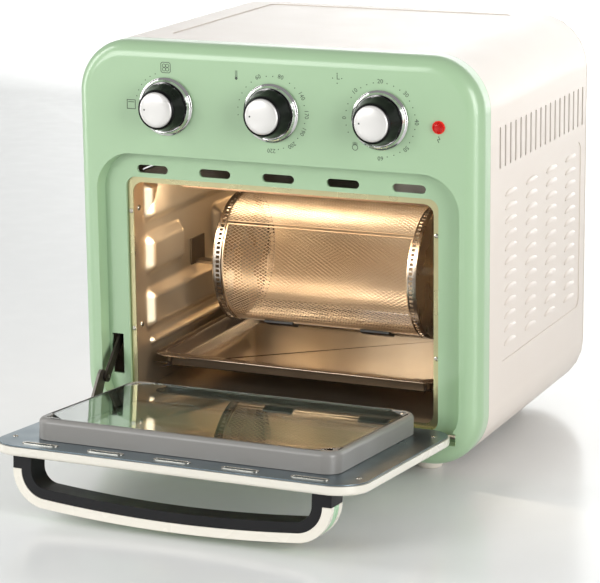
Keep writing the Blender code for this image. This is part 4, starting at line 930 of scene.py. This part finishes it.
for name, side in (("left", -1), ("right", 1)):
    finished(
        "cavity_side_" + name, side_wall(side), BODY, "root", CAVITY,
        ["cavity_wall_" + name], weighted=False, keep=True,
    )

# %% [markdown]
# Outside the left wall stand the strap and the stud that guide the door's stay, seen through the slot.

# %% Stay guide
stud = [(0, 0), (4.5, 0), (4.5, 1.2), (2.3, 1.5), (2.3, 9), (0, 9)]
guide = joined(bar((-141, -6, 88.5), (-125.6, 22, 100.5)), turned(stud, "+x", (-141.2, 15.8, 94.5), 20))
finished("stay_guide", guide, BODY, "root", ZINC)

# %% [markdown]
# The two heaters are steel tubes bent into long hairpins under the roof. A curve with a round bevel is
# the natural tool for a bent tube; each becomes a mesh once it is right.


# %% Bent tubes
def bent(points, bend, steps=8):
    """The same route with each corner eased into a curve that starts a little before it."""
    route = [Vector(point) for point in points]
    eased = [route[0]]
    for before, corner, after in zip(route, route[1:], route[2:]):
        start = corner + (before - corner).normalized() * bend
        end = corner + (after - corner).normalized() * bend
        for index in range(steps + 1):
            share = index / steps
            eased.append(start.lerp(corner, share).lerp(corner.lerp(end, share), share))
    return eased + [route[-1]]


def tube(points, radius, sides=4):
    """A drawing of a round tube along points."""
    curve = bpy.data.curves.new("tube", "CURVE")
    curve.dimensions = "3D"
    curve.bevel_depth = radius
    curve.bevel_resolution = sides
    curve.use_fill_caps = True
    spline = curve.splines.new("POLY")
    spline.points.add(len(points) - 1)
    for point, at in zip(spline.points, points):
        point.co = (*at, 1)
    holder = bpy.data.objects.new("tube", curve)
    scene.collection.objects.link(holder)
    bm = drawn(holder)
    bmesh.ops.remove_doubles(bm, verts=bm.verts, dist=0.001)
    return bm


HEATER_Z, SOCKET_X, BEND_X = 200, 138.5, -106.8
for name, low_y, high_y in (("heater_front", 37, 61), ("heater_rear", 143, 167)):
    corners = ((SOCKET_X, low_y), (BEND_X, low_y), (BEND_X, high_y), (SOCKET_X, high_y))
    route = bent([(x, y, HEATER_Z) for x, y in corners], 11.8)
    finished(
        name + "_tube", tube(route, 3.2, 5), BODY, "root", SHEATH, [name],
        weighted=False,
    )

# %% [markdown]
# ## The tray
#
# The tray is one sheet of black enamelled steel. One face with round corners is inset to leave the lip,
# and its middle is pushed down and drawn in for the sloped wall. Thickness comes last.

# %% Drip tray
pan = flat(-119.5, 119.5, 5.5, 203, 69.7)
arcs(pan, pan.verts[:], 14, 10)
bmesh.ops.inset_region(pan, faces=pan.faces[:], thickness=1.0, depth=0, use_boundary=True)
middle = max(pan.faces, key=lambda face: face.calc_area())
bmesh.ops.inset_region(pan, faces=[middle], thickness=6.5, depth=0)
for drawn_in, drop in ((1.2, 2.0), (1.6, 7.0), (1.6, 1.0)):
    middle = max(pan.faces, key=lambda face: face.calc_area())
    bmesh.ops.inset_region(pan, faces=[middle], thickness=drawn_in, depth=0)
    bmesh.ops.translate(pan, vec=(0, 0, -drop), verts=middle.verts[:])
    middle.normal_update()
middle = max(pan.faces, key=lambda face: face.calc_area())
bmesh.ops.inset_region(pan, faces=[middle], thickness=5, depth=0)
outline = [vert for vert in pan.verts if vert.is_boundary]
bmesh.ops.translate(pan, vec=(0, 0, -0.8), verts=outline)
bmesh.ops.solidify(pan, geom=pan.faces[:], thickness=1.1)
soften(pan, 0.5, 2, 60)
finished("tray_pan", pan, BODY, "tray", ENAMEL, ["drip_tray"], smooth=50)

# %% [markdown]
# ## The basket
#
# The drum is an expanded mesh: diamond cells made by two families of thin wires that wind round it in
# opposite ways. One wire is a four-sided ring spun along the axis, because a spin can also climb, and
# the family is that wire spun again with copies. The opening is cut out with two planes through the
# axis. Each wire has few faces, because there are hundreds.

# %% Mesh of wires
WIRES, TWIST = 114, 112


def wire_mesh(half, radius, start, end):
    """Both families between two angles, measured from the top towards the door."""
    families = []
    for hand, out in ((1, 0.0), (-1, 0.22)):
        bm = bmesh.new()
        bmesh.ops.create_circle(bm, cap_ends=False, segments=4, radius=0.23)
        place = Matrix.Translation((-half, 0, radius + out)) @ Matrix.Rotation(math.pi / 2, 4, "Y")
        bmesh.ops.transform(bm, matrix=place, verts=bm.verts)
        steps = 22
        twist = math.radians(TWIST * half / 83.2)
        bmesh.ops.spin(
            bm, geom=bm.verts[:] + bm.edges[:], cent=(0, 0, 0), axis=(hand, 0, 0),
            dvec=(2 * half / steps, 0, 0),
            angle=twist, steps=steps,
        )
        bmesh.ops.spin(
            bm, geom=whole(bm), cent=(0, 0, 0), axis=(1, 0, 0),
            angle=2 * math.pi * (WIRES - 1) / WIRES, steps=WIRES - 1, use_duplicate=True,
        )
        families.append(bm)
    bm = joined(*families)
    for angle in (start, end):
        turn = math.radians(angle)
        across = Vector((0, math.cos(turn), math.sin(turn)))
        bmesh.ops.bisect_plane(bm, geom=whole(bm), plane_co=(0, 0, 0), plane_no=across)
    lost = []
    for face in bm.faces:
        middle = face.calc_center_median()
        if (math.degrees(math.atan2(-middle.y, middle.z)) - start) % 360 > (end - start) % 360:
            lost.append(face)
    bmesh.ops.delete(bm, geom=lost, context="FACES")
    return bm


def strip(low_x, high_x, low_radius, high_radius, start, end, steps=6):
    """A curved strip of sheet round the spit axis."""
    bm = flat(low_x, high_x, low_radius, high_radius)
    turn = Matrix.Rotation(math.pi / 2 + math.radians(start), 3, "X")
    bmesh.ops.rotate(bm, cent=(0, 0, 0), matrix=turn, verts=bm.verts)
    bmesh.ops.spin(
        bm, geom=whole(bm), cent=(0, 0, 0), axis=(1, 0, 0), angle=math.radians(end - start), steps=steps
    )
    bmesh.ops.remove_doubles(bm, verts=bm.verts, dist=0.001)
    open_edges = [edge for edge in bm.edges if edge.is_boundary]
    if open_edges:
        bmesh.ops.holes_fill(bm, edges=open_edges, sides=4)
    bmesh.ops.recalc_face_normals(bm, faces=bm.faces)
    return bm


DRUM, LID = (159.5, 406.2), (48.2, 158.0)
SKIN = (50.3, 51.1)
drum = joined(
    wire_mesh(83.2, 50.55, *DRUM),
    strip(-83.2, 83.2, *SKIN, DRUM[0], DRUM[0] + 2.6),
    strip(-83.2, 83.2, *SKIN, DRUM[1] - 1.0, DRUM[1]),
)
finished(
    "drum_mesh", drum, SPIT, "basket", BASKET_STEEL, ["basket_mesh"], weighted=False,
    smooth=40,
)
lid = joined(
    wire_mesh(77.6, 50.55, *LID),
    strip(-78, 78, *SKIN, LID[0], LID[0] + 1.0),
    strip(-78, 78, *SKIN, LID[1] - 2.6, LID[1]),
    strip(-78, -77.2, *SKIN, *LID, 24),
    strip(77.2, 78, *SKIN, *LID, 24),
)
finished(
    "lid_mesh", lid, SPIT, "lid", BASKET_STEEL, ["basket_lid"], weighted=False, smooth=40
)

# %% [markdown]
# The ends of the drum are turned discs with a rolled rim. A row of small square holes runs round each
# rim, cut in one go. The right end has the square drive and the left end a round pin.


# %% Basket ends
def drum_end(along, shaft):
    """A disc with its rim, hub and perforations."""
    profile = [
        (0, 88.0), (7.2, 88.0), (8, 87.4), (8.2, 85.4), (9.6, 84.9), (20, 84.7), (21, 84.3), (34, 84.3),
        (35, 84.7), (49.4, 84.7), (50.4, 85.1), (51.2, 85.6), (52.1, 85.4), (52.5, 84.8), (52.5, 78.5),
        (51.7, 78.5), (51.6, 83.5), (0, 83.5),
    ]
    disc = turned(profile, along, steps=120)
    holes = []
    side = 1 if along == "+x" else -1
    for index in range(90):
        hole = bar((-1.5, -1.15, 50), (1.5, 1.15, 54))
        turn = Matrix.Rotation(math.radians(4 * index), 4, "X") @ Matrix.Translation((side * 81.0, 0, 0))
        holes.append(moved(hole, turn))
        hole.free()
    disc = carved(disc, *holes)
    return joined(disc, shaft)


pin = turned([(0, 88), (3, 88), (3, 107), (2.2, 108), (0, 108)], "-x", steps=24)
drive = soften(bar((87, -3, -3), (115.5, 3, 3)), 0.4)
for name, along, shaft in (("left", "-x", pin), ("right", "+x", drive)):
    disc = drum_end(along, shaft)
    finished(
        "drum_end_" + name, disc, SPIT, "basket", END_STEEL, ["basket_end_" + name],
        smooth=35,
    )
for name, x in (("left", -41), ("right", 41)):
    clip = soften(strip(x - 12.5, x + 12.5, 51.5, 54.0, 150.2, 163.8, 5), 0.7, 3, 50)
    finished("clip_" + name, clip, SPIT, "lid", BLACK, ["lid_clip_" + name])

# %% [markdown]
# ## The door
#
# The door is drawn shut and standing, then turned open by its matrix. It is a layered piece: a cream
# rim with the outer glass, a thin blue-grey steel plate, a raised grey frame and the inner glass.

# %% Door rim and panes
WINDOW = (-112, 112, 17.5, 162.2)
rim = plate(-143.5, 143.5, -2.5, 193, -4, 2.6, 22, 25, steps=14)
soften(rim, 2.5, 6, 60, lambda edge: at_front(edge, -4))
window = plate(*WINDOW, -6, 5, 6, steps=6)
pocket = plate(-116.3, 116.3, 13, 166.7, -1, 5, 4, steps=6)
rim = carved(rim, pocket)
rim = carved(rim, window)
soften(rim, 0.35, 2, 50, lambda edge: max(vert.co.y for vert in edge.verts) > -4.1)
finished("door_rim_moulding", rim, DOOR, "door", DOOR_CREAM, ["door_rim"])
pane = soften(plate(-116, 116, 13.3, 166.4, -0.7, 2.3, 4), 0.5, 2, 50)
finished("outer_pane", pane, DOOR, "door", GLASS, ["door_outer_glass"])

# %% [markdown]
# The steel plate has five air slots whose rims are rolled up a little, as a press finishes a hole that hands
# may touch.
# The rims are given the bright screw steel instead of the plate's blue-grey, a painted highlight along each
# slot.

# %% Door plate
sheet = plate(-142, 142, -1, 191.5, 2.9, 3.7, 20.5, 23.5, steps=14)
openings = [slot(x, 181, 26, 4, 1, 5) for x in AIR_SLOTS]
sheet = carved(sheet, plate(*WINDOW, 1, 5, 6, steps=6), *openings)
soften(sheet, 0.25, 2, 50)
finished("plate_sheet", sheet, DOOR, "door", DOOR_STEEL, ["door_plate"])
lips = []
for x in AIR_SLOTS:
    lip = carved(slot(x, 181, 28.4, 6.4, 3.6, 4.25, steps=8), slot(x, 181, 26, 4, 3, 5, steps=8))
    lips.append(soften(lip, 0.25, 2, 50))
# The lips are the plate's own sheet; their bright steel is a painted highlight.
finished("slot_lips_painted_highlight", joined(*lips), DOOR, "door", SCREW_AND_HIGHLIGHT_STEEL)
places = [(side * 133.5, 3.7, up) for side in (-1, 1) for up in (22, 165)]
screws("plate_screws", places, "+y", DOOR, "door", 0.9)

# %% [markdown]
# The grey frame is a moulding with well rounded edges. The inner pane lies in it with its corners cut
# off, and a screw sits in the triangle that each cut leaves.


# %% Inner frame and pane
def gusseted(half, low, top, near, far, cut):
    """A plate whose corners are cut off at 45 degrees."""
    return plate(-half, half, low, top, near, far, cut, steps=1)


frame_ring = plate(-117.5, 117.5, 12, 167.7, 4.0, 19.6, 12, steps=12)
soften(frame_ring, 4, 6, 60, lambda edge: at_front(edge, 19.6))
frame_ring = carved(frame_ring, plate(-110.5, 110.5, 19, 160.7, 2, 22, 6, steps=6))
frame_ring = carved(frame_ring, gusseted(114.5, 15, 164.7, 16.3, 22, 18))
gussets = [(side * 108.5, up) for side in (-1, 1) for up in (21, 158.7)]
wells = [turned([(0, 18.1), (2.8, 18.1), (2.8, 22), (0, 22)], "+y", (x, 0, up), 24) for x, up in gussets]
frame_ring = carved(frame_ring, *wells)
soften(frame_ring, 0.4, 2, 50, lambda edge: min(vert.co.y for vert in edge.verts) > 16.2)
finished("inner_frame_moulding", frame_ring, DOOR, "door", FRAME_GREY, ["door_inner_frame"])
pane = soften(gusseted(114.2, 15.3, 164.4, 16.6, 19.3, 18), 0.8, 2, 40)
finished("inner_pane", pane, DOOR, "door", GLASS, ["door_inner_glass"])
screws("gusset_screws", [(x, 18.3, up) for x, up in gussets], "+y", DOOR, "door", 0.95)

# %% [markdown]
# ## The handle
#
# The handle is a bow. A black grip is wrapped by a cream band with a green inlay. Each layer is the
# same path at another inset from the outside, so the layers always fit. Two paths are bridged into a
# strip of faces, and the strip is extruded to the handle's height.


# %% Handle layers
def bow(inset, start):
    """The handle's line at an inset from its outer face: from one leg round to the other."""
    radius, reach = 27.0, 41.0
    points = [Vector((122.8 - inset, -start, 0))]
    for index in range(15):
        turn = math.radians(-82 * index / 14)
        x, y = (radius - inset) * math.cos(turn), (radius - inset) * math.sin(turn)
        points.append(Vector((95.8 + x, radius - reach + y, 0)))
    span, first, last = points[-1].x, points[-1].y, inset - reach - 4.5
    for index in range(1, 9):
        share = 1 - index / 8
        points.append(Vector((span * share, last + (first - last) * share * share, 0)))
    return points + [Vector((-point.x, point.y, 0)) for point in points[-2::-1]]


def layer(near, far, near_start, far_start, low, high):
    """The solid between two insets of the bow."""
    bm = bmesh.new()
    lines = []
    for inset, start in ((near, near_start), (far, far_start)):
        verts = [bm.verts.new(point) for point in bow(inset, start)]
        lines += [bm.edges.new(pair) for pair in zip(verts, verts[1:])]
    bmesh.ops.bridge_loops(bm, edges=lines)
    bmesh.ops.translate(bm, vec=(0, 0, low), verts=bm.verts)
    shifted(bm, bmesh.ops.extrude_face_region(bm, geom=bm.faces[:])["geom"], (0, 0, high - low))
    bmesh.ops.recalc_face_normals(bm, faces=bm.faces)
    return bm


LOW, HIGH = 167, 187
grip = layer(7.0, 14.5, 13.6, 4.3, LOW, HIGH)
roots = [bar((x, -13.6, LOW), (x + 14.5, -4.3, HIGH)) for x in (108.3, -122.8)]
grip = carved(grip, *roots, operation="UNION")
soften(grip, 1.6, 4, 50)
finished("grip_moulding", grip, DOOR, "door", GRIP_BLACK, ["handle_grip"])
cover = carved(layer(0.0, 6.7, 13.8, 13.8, LOW, HIGH), layer(-2, 1.2, 12.5, 12.5, 172.5, 181.5))
soften(cover, 0.7, 3, 50)
finished("cover_band", cover, DOOR, "door", HANDLE_CREAM, ["handle_cover"])
inlay = soften(layer(0.2, 0.9, 13.9, 13.9, 172.8, 181.2), 0.15, 2, 50)
finished("inlay_band", inlay, DOOR, "door", HANDLE_MINT, ["handle_inlay"])

# %% [markdown]
# ## Feet
#
# The four feet are plain moulded pads. Each is turned, with a rim that rounds off where it meets the
# table, so that it doesn't catch when the oven is pushed.

# %% Feet
FOOT = [(0, 12.7), (10, 12.7), (9.9, 3.0), (9.3, 0.8), (8.2, 0.0), (0, 0.0)]
for end, y in (("front", 22), ("rear", 206)):
    for side, x in (("left", -108), ("right", 108)):
        foot = turned(FOOT, "+z", (x, y, 0), 40)
        finished(
            f"foot_pad_{end}_{side}", foot, BODY, "root", FOOT_PLASTIC,
            [f"foot_{end}_{side}"], weighted=False, smooth=50,
        )

# %% [markdown]
# ## CAD nodes that stay
#
# Flat sheets, brackets, shafts and the working parts inside are already right in shape. Each gets a
# finish in its object's material slots, and its mesh is left alone.

# %% Finishes for the kept nodes
KEPT = {
    BASE_STEEL: ["base_plate"],
    CREAM: ["back_panel"],
    BLACK: ["cord_inlet", "control_bracket", "selector_switch", "thermostat", "timer_unit"],
    CAVITY: ["cavity_roof", "cavity_floor", "cavity_back"],
    MOUTH: ["mouth_frame"],
    ZINC: ["fan_housing", "fan_impeller", "fan_shaft", "function_shaft", "temperature_shaft", "timer_shaft"],
    MOTOR_BLACK: ["fan_motor", "spit_motor"],
    SPIT_STEEL: ["spit_support", "drive_socket"],
    HINGE_STEEL: ["hinge_pin_left", "hinge_pin_right", "stay_bracket"],
    STAY_DARK: ["stay_arm"],
}
for material, names in KEPT.items():
    for name in names:
        node = frame["nodes"][name]
        node.data.materials.clear()
        node.data.materials.append(material)
        for holder in node.material_slots:
            holder.link = "OBJECT"
            holder.material = material
shown = {name for name, node in frame["nodes"].items() if not node.hide_render}
dressed = {name for names in KEPT.values() for name in names}
print("kept nodes", len(shown), "left plain", sorted(shown - dressed))

# %% [markdown]
# ## Floor, light and camera
#
# The floor is one sheet that curves up behind, so no horizon shows. The light is soft and comes mostly
# from the left: two broad panels draw long highlights down the rolled edges. One panel washes the
# backdrop, one fills the right side, and a small warm panel lights the cavity. The camera stands
# where its view matches the shape of the real object.

# %% Floor
paper = bmesh.new()
corners = [paper.verts.new(at) for at in ((-6, -5, 0), (-6, 3.0, 0), (-6, 3.0, 6))]
lines = [paper.edges.new(pair) for pair in zip(corners, corners[1:])]
grown = bmesh.ops.extrude_edge_only(paper, edges=lines)["geom"]
shifted(paper, grown, (12, 0, 0))
turn_line = Vector((0, 3, 0))
fold = [e for e in paper.edges if all((v.co * Vector((0, 1, 1)) - turn_line).length < 0.01 for v in e.verts)]
bmesh.ops.bevel(
    paper, geom=fold, offset=1.6, offset_type="OFFSET", segments=16,
    profile=0.5, affect="EDGES", material=-1,
)
mesh = bpy.data.meshes.new("studio_floor")
paper.to_mesh(mesh)
paper.free()
mesh.shade_smooth()
FLOOR = surface(
    "studio_floor", (236, 237, 236), (232, 233, 232), (0.16, 0.24), coat=0.0, wave=(3, 0.02),
    specular=0.35,
)
mesh.materials.append(FLOOR)
floor = bpy.data.objects.new("studio_floor", mesh)
scene.collection.objects.link(floor)


# %% Lights
def panel_light(name, at, aim, size, power, colour=(1.0, 1.0, 1.0)):
    """A rectangular area light at a point, aimed at another."""
    data = bpy.data.lights.new(name, "AREA")
    data.shape = "RECTANGLE"
    data.size, data.size_y = size
    data.energy = power
    data.color = colour
    lamp = bpy.data.objects.new(name, data)
    lamp.location = at
    lamp.rotation_mode = "QUATERNION"
    lamp.rotation_quaternion = (Vector(aim) - Vector(at)).to_track_quat("-Z", "Y")
    scene.collection.objects.link(lamp)
    return lamp


panel_light("key", (-1.2, -1.9, 0.85), (0, 0, 0.15), (1.2, 1.2), 26)
panel_light("strip_left", (-1.4, -0.3, 0.7), (0, -0.1, 0.15), (0.4, 1.5), 10)
panel_light("backdrop_wash", (0.2, 1.5, 1.0), (0.2, 3.0, 0.9), (2.5, 1.0), 110)
panel_light("right_fill", (1.7, -0.9, 0.6), (0, 0, 0.15), (0.9, 1.2), 24)
panel_light(
    "cavity_glow", (-0.02, seam_y + 0.004, 0.192), (0.0, 0.12, 0.11), (0.2, 0.03), 0.7,
    (1.0, 0.86, 0.68),
)
world = bpy.data.worlds.new("studio")
world.use_nodes = True
world.node_tree.nodes["Background"].inputs["Color"].default_value = WHITE
world.node_tree.nodes["Background"].inputs["Strength"].default_value = 0.33
scene.world = world
scene.view_settings.view_transform = "Standard"

# %% Camera
turn, rise, roll, distance = math.radians(23.87), math.radians(13.68), math.radians(-0.63), 1.81935
target = Vector((0.05581, seam_y - 0.1, 0.15849))
back = Vector((math.sin(turn) * math.cos(rise), -math.cos(turn) * math.cos(rise), math.sin(rise)))
right = Vector((math.cos(turn), math.sin(turn), 0))
up = back.cross(right)
right, up = right * math.cos(roll) + up * math.sin(roll), up * math.cos(roll) - right * math.sin(roll)
camera = bpy.data.objects.new("camera", bpy.data.cameras.new("camera"))
camera.data.lens, camera.data.sensor_width = 154.2, 36
axes = Matrix((right, up, back)).transposed().to_4x4()
camera.matrix_world = Matrix.Translation(target + back * distance) @ axes
scene.collection.objects.link(camera)
scene.camera = camera

# %% Letting go of the screw drawing
SCREW.free()
